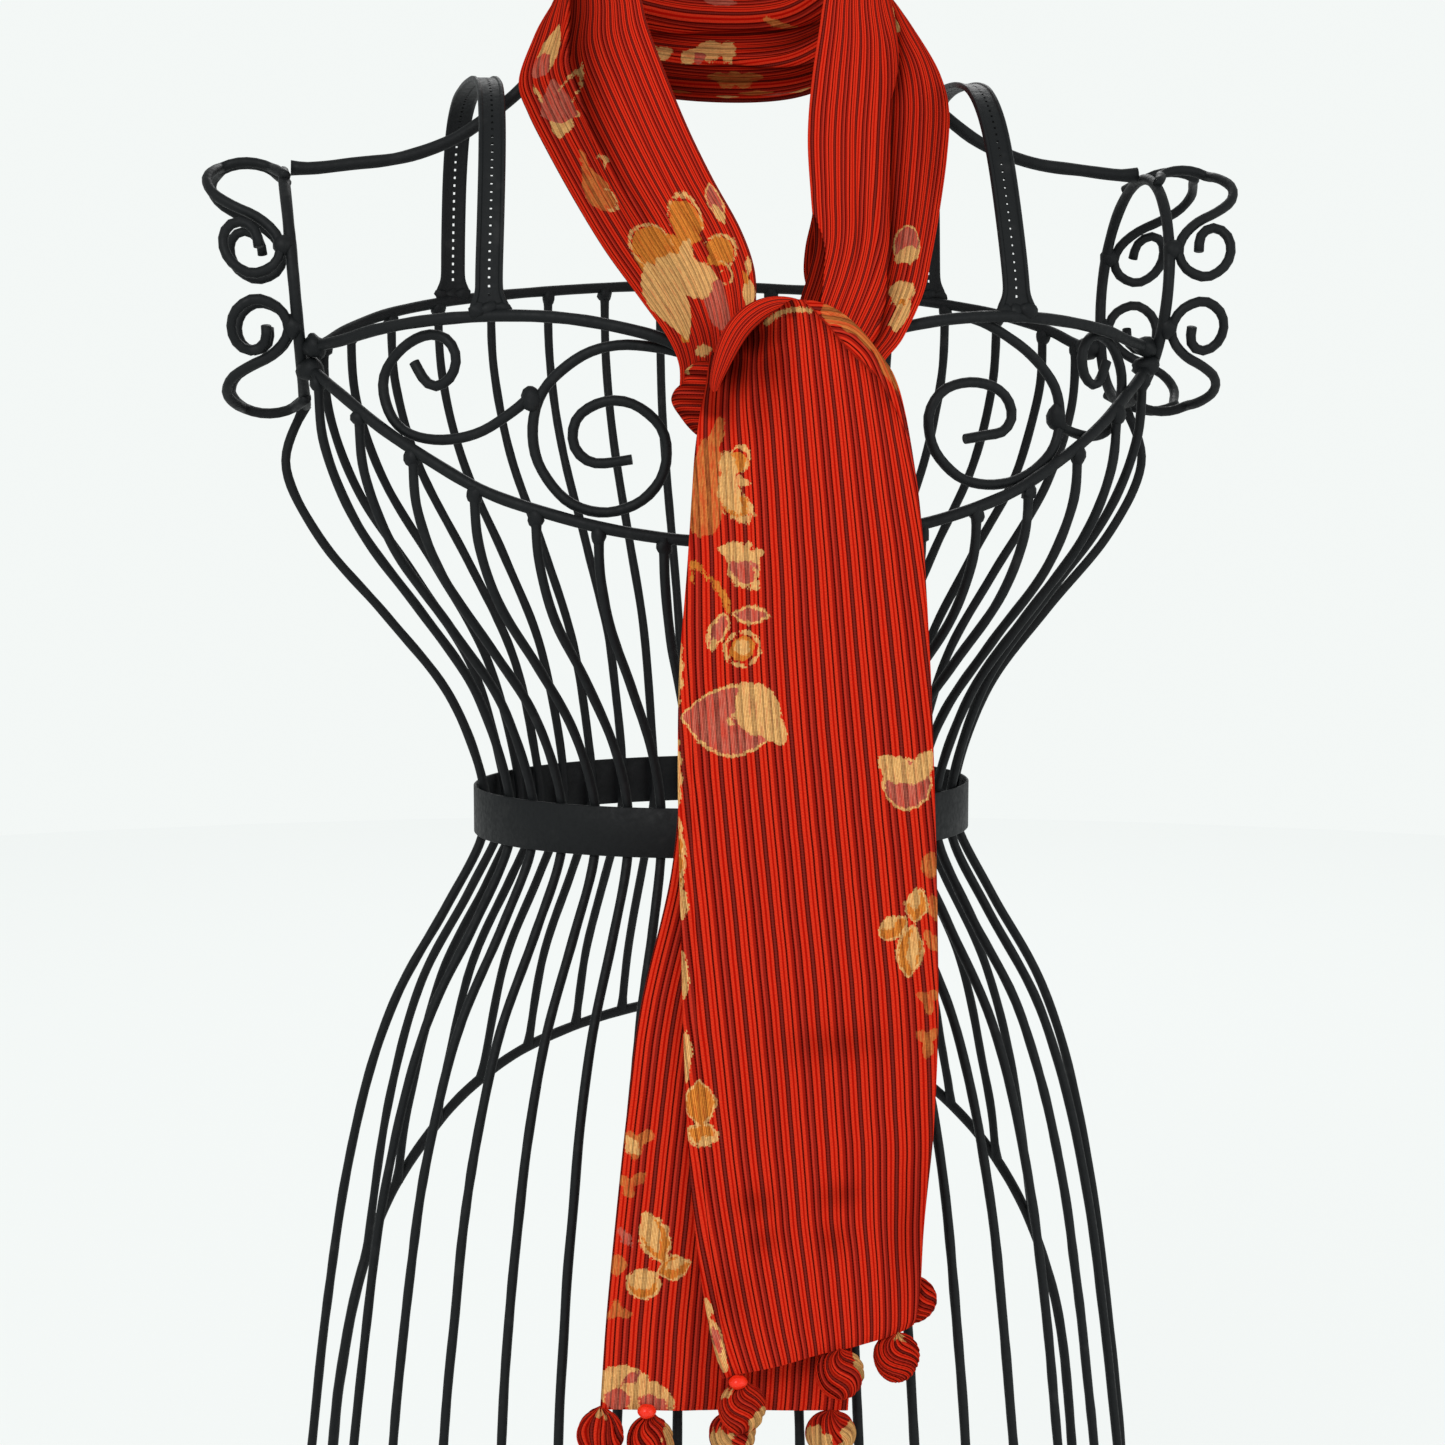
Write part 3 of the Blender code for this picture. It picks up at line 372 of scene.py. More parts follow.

# Silks of the flowers as linear colour, in the furrow and on the crest of a rib; the darker furrow colour is
# painted shade
FLOWER_SILKS = {
    "cream": ((0.47, 0.20, 0.050), (0.76, 0.46, 0.18)),
    "gold": ((0.34, 0.070, 0.010), (0.72, 0.27, 0.040)),
    "pink": ((0.28, 0.045, 0.035), (0.58, 0.20, 0.13)),
    "faded": ((0.36, 0.075, 0.016), (0.60, 0.22, 0.055)),
}

# Woven motifs of each stretch by fill and shape: across, along, length and width in millimetres, and turn
LEFT_MOTIFS = {
    "cream leaf": (
        (21.4, 48.9, 28.2, 16.8, 98), (17.7, 97.8, 24.7, 14.7, 122), (30.1, 92.4, 9.6, 6.1, -3),
        (104.5, 204.7, 12.2, 5.2, 112), (101.4, 219.5, 14.1, 13.5, 111), (34.7, 239.3, 23.3, 5.6, 2),
    ),
    "wash leaf": ((17.1, 55.7, 14.8, 14.4, 140), (64.8, 220.8, 30.0, 26.3, 56)),
    "wash fan": ((21.1, 82.1, 32.9, 24.3, 101),),
    "heart curl": (
        (32.5, 76.5, 34.1, 10.9, -33), (30.4, 129.3, 15.4, 7.9, -34), (22.2, 154.3, 9.5, 14.8, 25),
        (33.0, 185.6, 26.0, 33.0, -106), (67.3, 176.2, 42.3, 23.1, -55), (82.7, 195.3, 35.1, 18.3, -23),
        (79.8, 206.8, 13.0, 11.9, 10),
    ),
    "heart leaf": (
        (11.3, 72.3, 17.4, 2.6, 84), (53.7, 194.6, 27.3, 9.8, 135), (20.3, 212.5, 40.9, 34.7, 96),
        (63.7, 205.2, 16.6, 11.7, 31), (32.7, 196.5, 11.8, 13.0, 95), (98.4, 170.4, 13.5, 7.9, 88),
    ),
    "faint fan": ((18.4, 144.9, 33.7, 19.4, 91),),
    "faint leaf": ((19.8, 126.3, 16.2, 3.7, 97),),
    "faint disc": ((21.4, 152.5, 11.0, 10.6, 4),),
    "amber fan": (
        (33.5, 186.3, 25.0, 31.0, -108), (65.5, 177.8, 38.8, 23.1, -50), (81.6, 195.2, 31.3, 17.5, -23),
    ),
    "amber leaf": (
        (19.5, 196.0, 19.0, 9.0, 72), (50.5, 185.5, 14.0, 8.0, 60), (18.2, 229.7, 7.5, 12.0, 70),
        (99.8, 211.3, 9.4, 5.1, 71),
    ),
    "amber disc": ((41.9, 188.7, 19.2, 17.1, 14),),
    "heart disc": ((47.6, 204.2, 38.3, 24.2, 19),),
    "pink leaf": ((100.1, 163.5, 26.8, 13.0, 111),),
}
RIGHT_MOTIFS = {
    "cream leaf": ((29.9, 32.1, 13.6, 14.0, 72), (13.3, 216.8, 20.0, 15.0, -62)),
    "pink disc": ((25.8, 176.3, 28.5, 22.9, -50),),
    "heart disc": ((23.7, 183.5, 22.2, 10.9, 15),),
    "cream disc": ((21.0, 205.4, 25.1, 10.2, 0),),
    "gold disc": ((17.4, 211.4, 20.3, 4.9, -1),),
}
NECK_MOTIFS = {
    "cream disc": (
        (36.6, 102.9, 10.9, 6.9, 44), (37.8, 111.5, 14.3, 7.6, 32), (44.5, 137.2, 20.6, 13.4, 9),
        (44.0, 146.5, 21.8, 8.3, -1),
    ),
    "cream leaf": (
        (38.5, 127.0, 19.2, 10.1, 41), (3.5, 108.0, 3.4, 16.0, 0), (2.5, 146.0, 3.0, 13.0, 0),
        (2.2, 184.0, 3.0, 14.0, 0),
    ),
    "wash disc": ((37.3, 131.3, 9.9, 6.4, 15),),
    "faint leaf": ((69.5, 175.6, 21.8, 4.6, -60), (5.5, 122.0, 3.6, 15.0, 0), (7.0, 160.0, 4.6, 18.0, 0)),
    "wash leaf": ((87.2, 142.3, 19.6, 8.1, -84), (3.2, 172.0, 3.2, 20.0, 0)),
    "faint blossom": ((18.0, 150.0, 15.0, 30.0, 0),),
}
WRAP_MOTIFS = {"cream leaf": ((59.8, 105.2, 12.9, 5.6, -30),)}
FRONT_MOTIFS = {
    "faint fan": ((6.3, 105.5, 63.0, 20.9, 85),),
    "faint leaf": (
        (10.3, 85.6, 22.4, 9.0, 95), (3.3, 123.6, 26.4, 6.6, 81), (11.6, 129.1, 17.9, 6.2, 93),
        (107.7, 307.0, 12.7, 5.2, 79), (106.4, 321.7, 12.6, 5.6, 59),
    ),
    "heart leaf": (
        (17.0, 106.8, 22.0, 7.5, 74), (18.1, 121.0, 25.0, 8.7, 66), (23.2, 117.2, 12.2, 3.4, 31),
        (21.7, 148.9, 19.0, 8.4, 26), (30.5, 151.9, 8.2, 5.2, -23), (27.5, 147.1, 3.5, 2.8, -70),
        (13.8, 189.0, 8.4, 2.8, 97), (38.3, 225.3, 22.9, 11.8, 51), (29.8, 209.7, 13.1, 5.8, 17),
        (92.1, 245.6, 19.0, 11.2, 37), (103.5, 245.3, 17.5, 10.0, -57), (99.1, 302.7, 10.4, 5.2, -84),
        (87.9, 312.6, 9.4, 4.4, -34), (97.9, 324.5, 19.1, 5.2, -84), (8.0, 405.2, 10.9, 4.2, -18),
    ),
    "amber fan": ((19.3, 107.5, 11.2, 16.5, -51), (20.4, 126.7, 17.5, 10.0, 44)),
    "heart curl": (
        (20.0, 107.2, 13.2, 15.1, -16), (20.7, 126.9, 20.3, 9.9, 51), (26.4, 159.8, 14.1, 7.9, 51),
    ),
    "pink fan": ((24.1, 155.9, 20.8, 13.8, 48),),
    "amber curl": ((5.6, 157.0, 14.1, 5.1, -109),),
    "amber leaf": ((15.2, 164.5, 19.5, 2.6, 55), (18.4, 171.6, 9.1, 2.4, 73)),
    "pink leaf": ((29.6, 177.8, 17.2, 8.6, 8), (15.6, 183.4, 18.2, 8.8, 112), (22.6, 223.3, 43.6, 31.6, 8)),
    "heart ring": ((26.4, 192.2, 15.2, 14.6, 4), (23.6, 223.0, 4.6, 4.2, 2)),
    "amber disc": ((26.4, 192.2, 11.0, 10.6, 4),),
    "heart disc": ((26.3, 191.5, 7.3, 7.0, 4), (33.4, 218.8, 23.0, 19.6, 70)),
    "pink disc": ((97.1, 252.4, 22.9, 21.7, 73),),
    "faint disc": ((106.1, 288.4, 11.3, 8.0, 86),),
    "gold leaf": (
        (99.9, 305.3, 15.6, 10.6, -79), (89.6, 314.8, 15.2, 10.5, -34), (96.6, 325.2, 24.3, 12.0, -84),
        (6.1, 388.9, 20.6, 14.6, -89), (0.5, 281.0, 34.0, 4.6, 90),
    ),
    "faint star": ((104.7, 347.0, 13.3, 11.3, 90), (104.4, 364.9, 17.2, 11.0, 89)),
    "gold disc": ((6.3, 402.2, 14.6, 10.1, 0),),
    "cream leaf": (
        (0.0, 202.0, 30.0, 3.4, 90), (0.3, 246.0, 30.0, 3.0, 90), (0.8, 301.0, 16.0, 5.0, 88),
        (0.8, 334.0, 22.0, 4.6, 90), (0.8, 368.0, 24.0, 5.0, 92), (1.0, 474.0, 9.0, 4.4, 90),
        (2.0, 489.0, 24.0, 6.6, 88),
    ),
    "wash leaf": ((2.2, 487.0, 12.0, 4.0, 88),),
}
BACK_MOTIFS = {
    "faint star": (
        (5.7, 328.1, 16.4, 14.1, -30), (4.6, 346.7, 15.6, 12.3, -30), (4.3, 404.3, 12.9, 9.7, 22),
    ),
    "cream leaf": ((3.7, 329.8, 10.2, 5.8, 56),),
    "gold leaf": ((17.9, 371.4, 26.3, 13.5, 66), (27.5, 385.1, 15.2, 12.0, -16)),
    "heart leaf": ((15.9, 368.7, 20.7, 7.6, 66), (28.1, 383.3, 10.9, 4.7, -21)),
    "gold disc": ((14.6, 392.3, 15.7, 13.8, 25),),
    "heart disc": ((14.0, 390.4, 11.5, 9.0, 11),),
    "wash leaf": ((4.8, 371.0, 12.5, 4.1, 53),),
    "faint disc": ((2.4, 383.2, 9.2, 8.4, 64),),
    "cream disc": ((8.8, 439.5, 24.8, 19.7, 7), (21.5, 446.3, 22.4, 17.7, 28)),
    "wash disc": ((7.0, 446.0, 11.7, 10.5, 22), (23.3, 447.7, 14.3, 7.6, 22), (13.0, 435.7, 8.7, 4.7, -34)),
}

# Wound balls: pleats, twist and cream patches as azimuth from the front, elevation and half angle in degrees
BALL_LOOKS = {
    "front_ball_1": (9, 0.8, ((48, -22, 34), (-70, 50, 14))),
    "front_ball_2": (11, 1.3, ((75, 25, 32),)),
    "front_ball_3": (13, 1.6, ((20, 72, 14),)),
    "front_ball_4": (12, 1.2, ()),
    "back_ball_1": (12, 0.3, ((0, 68, 12),)),
    "back_ball_2": (10, 0.9, ((70, 10, 40),)),
    "back_ball_3": (8, 0.5, ((-40, -10, 40), (60, 5, 30))),
    "back_ball_4": (8, 0.2, ((-50, -10, 42), (52, -5, 40))),
}
BEADS = (
    # name, centre and half sizes, in millimetres
    ("bead_front", (-18.5, -180.0, 319.0), (4.1, 3.4, 3.2)),
    ("bead_back", (-57.0, -168.0, 303.5), (4.1, 3.4, 3.3)),
)


# Curves and small helpers


def flow(rows, count):
    """Rows read at even steps from the smooth curve through the given rows."""
    rows = np.asarray(rows, float)
    spans = len(rows) - 1
    place = np.arange(count + 1) * spans / count
    index = np.minimum(place.astype(int), spans - 1)
    t = (place - index)[:, None]

    def pick(shift):
        return rows[np.clip(index + shift, 0, spans)]

    return 0.5 * ((-t ** 3 + 2 * t ** 2 - t) * pick(-1) + (3 * t ** 3 - 5 * t ** 2 + 2) * pick(0)
                  + (-3 * t ** 3 + 4 * t ** 2 + t) * pick(1) + (t ** 3 - t ** 2) * pick(2))


def lengths(points):
    return np.concatenate([[0.0], np.cumsum(np.linalg.norm(np.diff(points, axis=0), axis=1))])


def evenly(rows, line, step):
    """Rows read again so that their line of points has even steps."""
    run = lengths(line)
    at = np.linspace(0, run[-1], max(3, int(round(run[-1] / step)) + 1))
    return np.stack([np.interp(at, run, rows[:, i]) for i in range(rows.shape[1])], axis=1)


def drift(place, seed, shortest, longest):
    """Smooth uneven values of about -1 to 1 along a length."""
    dice = np.random.default_rng(seed)
    waves = dice.uniform(shortest, longest, 4)
    phases = dice.uniform(0, 2 * math.pi, 4)
    return sum(np.sin(2 * math.pi * place / wave + phase) for wave, phase in zip(waves, phases)) / 2.6


def seed_of(name):
    return sum((place + 1) * ord(letter) for place, letter in enumerate(name))


def unit(vectors):
    return vectors / np.maximum(np.linalg.norm(vectors, axis=-1, keepdims=True), 1e-12)


def circle(count):
    """Even angles all round."""
    return np.arange(count) * 2 * math.pi / count


def grid_quads(count, columns, closed=False, looped=False):
    """Quads of a grid: closed joins its last column to its first, looped its last row to its first."""
    index = np.arange(count * columns).reshape(count, columns)
    if looped:
        index = np.concatenate([index, index[:1]])
    after = np.roll(index, -1, axis=1)
    if not closed:
        index, after = index[:, :-1], after[:, :-1]
    return np.stack([index[:-1], after[:-1], after[1:], index[1:]], axis=-1).reshape(-1, 4)


def ring_quads(count, columns):
    """Quads of a closed grid that face the other way."""
    return grid_quads(count, columns, closed=True)[:, [0, 3, 2, 1]]


def capped_quads(count, columns):
    """The same with a cap over the first row and the last."""
    caps = [list(range(columns)), list(range((count - 1) * columns, count * columns))[::-1]]
    return ring_quads(count, columns).tolist() + caps


def split(rows):
    """Columns of a table, each ready to be spread over the places across."""
    return (rows[:, None, i] for i in range(rows.shape[1]))


def new_piece(name, parts, material, nodes, values=None):
    """One object from parts of points and polygons, on the root body, in place of its CAD nodes."""
    polygons = []
    offset = 0
    for points, faces in parts:
        polygons += [[int(corner) + offset for corner in face] for face in faces]
        offset += len(points)
    mesh = bpy.data.meshes.new(name)
    mesh.from_pydata(np.concatenate([points for points, faces in parts]).tolist(), [], polygons)
    mesh.shade_smooth()
    for key, value in (values or {}).items():
        layer = mesh.attributes.new(key, "FLOAT", "POINT")
        layer.data.foreach_set("value", np.asarray(value, np.float32).ravel())
    mesh.materials.append(material)
    obj = bpy.data.objects.new(name, mesh)
    bpy.context.scene.collection.objects.link(obj)
    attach(obj, "root")
    if nodes:
        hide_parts(*nodes)
    return obj


def iron_piece(name, parts, iron, node, sharp=None):
    piece = new_piece(name, parts, iron, [node])
    if sharp:
        piece.data.set_sharp_from_angle(angle=math.radians(sharp))
    return piece


# Wires of the form


def wire(points, radius, seed, closed=False, sides=10, flare=(0.0, 0.0)):
    """Round rod along points, slightly uneven as a hand-bent one is; flare widens an end into its weld."""
    line = np.asarray(points, float)
    if closed:
        line = np.concatenate([line, line[:1]])
    line = evenly(line, line, WIRE_STEP)
    run = lengths(line)
    total = run[-1]
    if closed:
        line, run = line[:-1], run[:-1]
    ahead = np.roll(line, -1, axis=0) - np.roll(line, 1, axis=0)
    if not closed:
        ahead[0], ahead[-1] = line[1] - line[0], line[-1] - line[-2]
    ahead = unit(ahead)
    side = unit(np.cross(ahead[0], (0.31, 0.22, 0.92)))
    sideways = []
    for direction in ahead:
        side = unit(side - direction * side.dot(direction))
        sideways.append(side)
    sideways = np.array(sideways)
    upward = np.cross(ahead, sideways)
    place = run if not closed else np.sin(run / total * 2 * math.pi) * total / 6
    rods = radius * (1 + 0.035 * drift(place, seed, 0.012, 0.05))
    rods = rods * (1 + flare[0] * np.exp(-(run / FLARE_REACH) ** 2)
                   + flare[1] * np.exp(-((total - run) / FLARE_REACH) ** 2))
    fade = np.ones(len(run)) if closed else np.minimum(1, np.minimum(run, total - run) / 0.02)
    line = line + (sideways * drift(place, seed + 1, 0.05, 0.16)[:, None]
                   + upward * drift(place, seed + 2, 0.05, 0.16)[:, None]) * (WIRE_WANDER * fade)[:, None]
    turn = circle(sides)
    ring = np.cos(turn)[:, None] * sideways[:, None] + np.sin(turn)[:, None] * upward[:, None]
    points = (line[:, None] + ring * rods[:, None, None]).reshape(-1, 3)
    count = len(line)
    faces = grid_quads(count, sides, closed=True, looped=closed).tolist()
    if not closed:
        faces += [list(range(sides))[::-1], [(count - 1) * sides + step for step in range(sides)]]
    return points, faces


def blob(centre, size, seed):
    """Lumpy bead of weld metal; size is its half width along each axis."""
    rows, columns = 6, 12
    dice = np.random.default_rng(seed)
    tilt = np.linspace(0, math.pi, rows + 2)[1:-1]
    turn = circle(columns)
    ball = np.stack([np.outer(np.sin(tilt), np.cos(turn)), np.outer(np.sin(tilt), np.sin(turn)),
                     np.outer(np.cos(tilt), np.ones(columns))], axis=-1).reshape(-1, 3)
    ball = np.concatenate([ball, [(0, 0, 1), (0, 0, -1)]])
    lumps = dice.normal(size=(4, 3))
    swell = 1 + 0.09 * sum(np.sin(2.1 * ball @ lump + index) for index, lump in enumerate(lumps))
    points = np.asarray(centre) + ball * swell[:, None] * np.asarray(size)
    faces = ring_quads(rows, columns).tolist()
    top, bottom, last = len(ball) - 2, len(ball) - 1, (rows - 1) * columns
    for step in range(columns):
        after = (step + 1) % columns
        faces += [(top, step, after), (bottom, last + after, last + step)]
    return points, faces


def on_bust(aside, z, side=1.0, back=False, inset=0.0, turn=0.0):
    """Points on the bust's ellipse from their distances aside and heights."""
    aside, z = np.asarray(aside, float), np.asarray(z, float)
    angle = np.arcsin(np.clip(aside / BUST_HALF[0], -1, 1)) + math.radians(turn)
    depth = (BUST_HALF[1] - inset) * np.cos(angle)
    return np.stack([side * (BUST_HALF[0] - inset) * np.sin(angle), depth if back else -depth, z], axis=-1)


def rail_rows(table, count):
    """Rows of a rail or arch from its left end over the middle to its right end."""
    left = [(-row[0], row[1]) for row in table[:0:-1]]
    return flow(left + list(table), count)


def rail_height(table, aside):
    rows = rail_rows(table, 140)
    return np.interp(aside, rows[:, 0], rows[:, 1]) * MM


def armhole(side, turn):
    rise = np.sin(turn)
    return np.stack([side * (ARMHOLE_ASIDE + ARMHOLE_LEAN * rise), ARMHOLE_HALF_DEPTH * np.cos(turn),
                     ARMHOLE_Z + ARMHOLE_HALF_HEIGHT * rise], axis=-1)


def half_sizes(z, z_top):
    """Half width and half depth of the cage at heights, for an upright that starts at z_top."""
    skirt = np.array(SKIRT[::-1], float) * MM
    bodice = np.array(BODICE)
    swing = np.interp((z - WAIST_Z) / max(z_top - WAIST_Z, MM), bodice[:, 0], bodice[:, 1])
    above = z >= WAIST_Z
    return tuple(np.where(above, WAIST_HALF[i] + (BUST_HALF[i] - WAIST_HALF[i]) * swing,
                          np.interp(z, skirt[:, 0], skirt[:, i + 1])) for i in (0, 1))


def upright_line(degrees, z_top, z_bottom, top_aside=None):
    """Line of one upright from inside its rail down to its foot; degrees run from the front."""
    turn = math.radians(degrees)
    skirt = [step * MM for step in SKIRT_STEPS if step * MM > z_bottom + 0.012]
    heights = [WAIST_Z + (z_top - WAIST_Z) * step for step in BODICE_STEPS]
    heights = np.array(heights + [ABOVE_BAND_Z] + skirt + [z_bottom])
    width, depth = half_sizes(heights, z_top)
    line = np.stack([width * math.sin(turn), -depth * math.cos(turn), heights], axis=1)
    if top_aside:
        line[0, 0] = math.copysign(top_aside, line[0, 0])
    return flow(line, 90)


def skirt_points(degrees_from_back, z):
    width, depth = half_sizes(z, WAIST_Z)
    turn = np.radians(degrees_from_back)
    return np.stack([width * np.sin(turn), depth * np.cos(turn), z], axis=-1)


def strip_ring(half, z_low, z_high, thick, count):
    """A flat strip bent into an ellipse, its long edges rounded; half is its outer half width and depth."""
    soft = thick * 0.32
    profile = [(0, z_low + soft), (0, z_high - soft), (soft, z_high), (thick - soft, z_high),
               (thick, z_high - soft), (thick, z_low + soft), (thick - soft, z_low), (soft, z_low)]
    turn = circle(count)
    rings = [np.stack([(half[0] - inset) * np.cos(turn), (half[1] - inset) * np.sin(turn), np.full(count, z)],
                      axis=1) for inset, z in profile]
    return np.concatenate(rings), grid_quads(len(profile), count, closed=True, looped=True)


def build_uprights(iron):
    number = 0
    arch = rail_rows(SKIRT_ARCH, 180)
    for side in (-1, 1):
        rows = [(degrees, UNDER_BUST_RAIL) for degrees in FRONT_UPRIGHTS] + [(SIDE_UPRIGHT, None)]
        rows += [(degrees, BACK_RAIL) for degrees in BACK_UPRIGHTS]
        for degrees, rail in rows:
            number += 1
            name = "upright_%02d" % number
            seed = seed_of(name)
            back = rail is BACK_RAIL
            turn = side * (180 - degrees if back else degrees)
            bottom = HEM_HEIGHT - FOOT_SINK
            if rail is None:
                low = -math.acos(-BUST_HALF[1] * math.cos(math.radians(degrees)) / ARMHOLE_HALF_DEPTH)
                aside, _, top = armhole(side, low)
                line = upright_line(turn, float(top), bottom, abs(float(aside)))
            else:
                top = rail_height(rail, BUST_HALF[0] * math.sin(math.radians(degrees)) / MM)
                if back:
                    bottom = float(np.interp(degrees, arch[:, 0], arch[:, 1])) * MM
                line = upright_line(turn, float(top), bottom)
            parts = [wire(line, UPRIGHT_RADIUS, seed, flare=(0.35, 0.35 if back else 0.2))]
            if rail is not None:
                parts.append(blob(line[0] - (0, 0, 0.0035), UPRIGHT_WELD, seed + 5))
            iron_piece("wire_%02d" % number, parts, iron, name, 55)


def strap_parts(side):
    """Flat strap over the shoulder: two raised rims and a web with a row of slots."""
    line = flow(STRAP, 200) * MM
    line = evenly(line, line[:, :2], STRAP_STEP)
    run, columns = len(line), len(STRAP_PROFILE)
    aside, above, below = (np.array(STRAP_PROFILE) * MM).T
    ahead = unit(np.gradient(line[:, [2, 0, 1]], axis=0) * (0, 1, 1))
    outward = np.stack([np.zeros(run), -ahead[:, 2], ahead[:, 1]], axis=1)
    middle = np.stack([side * line[:, 2], line[:, 0], line[:, 1]], axis=1)
    outward *= np.sign(np.sum(outward * (middle - (0.0, 0.0, 0.80)), axis=1))[:, None]
    to_end = np.minimum(np.arange(run), run - 1 - np.arange(run)) * STRAP_STEP
    across = np.zeros((run, columns, 3))
    across[..., 0] = aside * (1 + 0.45 * np.exp(-(to_end / 0.005) ** 2))[:, None]
    top = middle[:, None] + across + outward[:, None] * above[:, None]
    under = middle[:, None] + across - outward[:, None] * below[:, None]
    faces = []
    layer = run * columns

    def open_cell(row, column):
        return column == STRAP_SLOT_COLUMN and 3 <= row < run - 4 and row % STRAP_SLOT_ROWS == 1

    def wall(a, b):
        faces.append((a, b, layer + b, layer + a))

    for row in range(run - 1):
        for column in range(columns - 1):
            a = row * columns + column
            b, c, d = a + 1, a + columns + 1, a + columns
            if not open_cell(row, column):
                faces.append((a, b, c, d))
                faces.append((layer + d, layer + c, layer + b, layer + a))
                continue
            if not open_cell(row - 1, column):
                wall(a, b)
            if not open_cell(row + 1, column):
                wall(c, d)
            wall(b, c)
            wall(d, a)
        wall(row * columns, (row + 1) * columns)
        wall((row + 2) * columns - 1, (row + 1) * columns - 1)
    for column in range(columns - 1):
        wall(column + 1, column)
        wall(layer - columns + column, layer - columns + column + 1)
    return np.concatenate([top.reshape(-1, 3), under.reshape(-1, 3)]), faces


def build_form(iron):
    band_half = tuple(size + UPRIGHT_RADIUS + TOUCH + BAND_EASE + BAND_THICK for size in WAIST_HALF)
    band = strip_ring(band_half, WAIST_Z - BAND_HEIGHT / 2, WAIST_Z + BAND_HEIGHT / 2, BAND_THICK, 160)
    iron_piece("band", [band], iron, "waist_band")
    hem_half = tuple(size + HEM_THICK / 2 for size in HEM_HALF)
    arch = rail_rows(SKIRT_ARCH, 200)
    arch_wire = wire(skirt_points(arch[:, 0], arch[:, 1] * MM), RAIL_RADIUS, 41, flare=(0.3, 0.3))
    hem = strip_ring(hem_half, 0.0, HEM_HEIGHT, HEM_THICK, 180)
    iron_piece("hem_ring", [hem, arch_wire], iron, "hem_and_arch")
    for name, table, back, seed in (("front_rail", FRONT_RAIL, False, 3),
                                    ("under_bust_rail", UNDER_BUST_RAIL, False, 5),
                                    ("back_rail", BACK_RAIL, True, 9)):
        rows = rail_rows(table, 140) * MM
        line = on_bust(rows[:, 0], rows[:, 1], 1.0, back)
        welds = [blob(end, RAIL_WELD, seed + index) for index, end in enumerate((line[0], line[-1]))]
        iron_piece(name + "_rod", [wire(line, RAIL_RADIUS, seed, sides=12)] + welds, iron, name)
    turn = circle(90)
    ring = np.stack([NECK_RING_RADIUS * np.cos(turn), NECK_RING_RADIUS * np.sin(turn),
                     np.full(90, NECK_RING_Z)], axis=1)
    parts = [wire(ring, SHOULDER_RADIUS, 17, closed=True, sides=12)]
    for side in (-1, 1):
        rows = flow(SHOULDER_RAIL, 90) * MM
        line = np.stack([side * rows[:, 0], np.zeros(len(rows)), rows[:, 1]], axis=1)
        parts.append(wire(line, SHOULDER_RADIUS, 19 + side, sides=12, flare=(0.25, 0.2)))
    iron_piece("shoulder_rod", parts, iron, "shoulder_rail")
    for side, word in ((-1, "left"), (1, "right")):
        iron_piece("armhole_" + word, sleeve_parts(side), iron, "sleeve_" + word)
        iron_piece("chest_scroll_" + word, scroll_parts(side), iron, "bust_scroll_" + word, 55)
        parts = [strap_parts(side)]
        for depth, height, aside in (STRAP[0], STRAP[-1]):
            for off in (-5.2, 0.0, 5.2):
                foot = np.array((side * (aside + off), depth, height - 0.8)) * MM
                parts.append(blob(foot, STRAP_WELD, int(aside + off) + side))
        iron_piece("shoulder_strap_" + word, parts, iron, "strap_" + word, 40)


def sleeve_parts(side):
    """Armhole ring with a scroll at the front and back of its upper and its lower half."""
    parts = [wire(armhole(side, circle(120)), RAIL_RADIUS, 23 + side, closed=True, sides=12)]
    for facing in (-1, 1):
        for up in (1, -1):
            rows = flow(SLEEVE_SCROLL, 120)
            level = np.minimum(1.0, rows[:, 1] / 54.5)
            depth = 9 + 49 * np.sqrt(1 - level * level)
            lean = ARMHOLE_ASIDE + ARMHOLE_LEAN * up * level
            line = np.stack([side * (lean + rows[:, 0] * MM), facing * depth * MM,
                             ARMHOLE_Z + up * rows[:, 1] * MM], axis=1)
            parts.append(wire(line, SCROLL_RADIUS, 31 + facing + 2 * up, sides=12))
            near = np.argmin(rows[:, 0] + 1000 * (rows[:, 1] > 40))
            parts.append(blob(line[near] - (side * 0.002, 0, 0), SLEEVE_WELD, 51 + up))
    return parts


def scroll_parts(side):
    """The two scrolls on one side of the bust and the weld that joins them."""
    tables, joint, turn = RIGHT_SCROLLS if side > 0 else LEFT_SCROLLS
    inset = RAIL_RADIUS + SCROLL_RADIUS + TOUCH
    parts = []
    for table in tables:
        rows = flow(table, 200) * MM
        line = on_bust(rows[:, 0], rows[:, 1], side, False, inset, turn)
        parts.append(wire(line, SCROLL_RADIUS, 61 + side + len(table), sides=12))
    place = on_bust(joint[0] * MM, joint[1] * MM, side, False, inset, turn)
    return parts + [blob(place, SCROLL_WELD, 71 + side)]


# Cloth


def across_steps(width, step):
    """Places across a stretch from 0 to 1, closer together at its two folded edges."""
    inner = np.linspace(EDGE_PLACES[-1], width - EDGE_PLACES[-1], int(round(width / step)))
    return np.concatenate([EDGE_PLACES, inner[1:-1], width - EDGE_PLACES[::-1]]) / width


def normals(grid):
    return unit(np.cross(np.gradient(grid, axis=1), np.gradient(grid, axis=0)))


def bump(distance, reach):
    """Soft hill of height 1 at distance 0."""
    return np.exp(-(distance / reach) ** 2)


def dip(distance, reach):
    """A crease: a narrow trough of depth 1 with soft shoulders."""
    gap = np.abs(distance) / reach
    return np.where(gap < 1, (1 - np.minimum(gap, 1)) ** 2 * (1 + 1.2 * gap), 0.0)


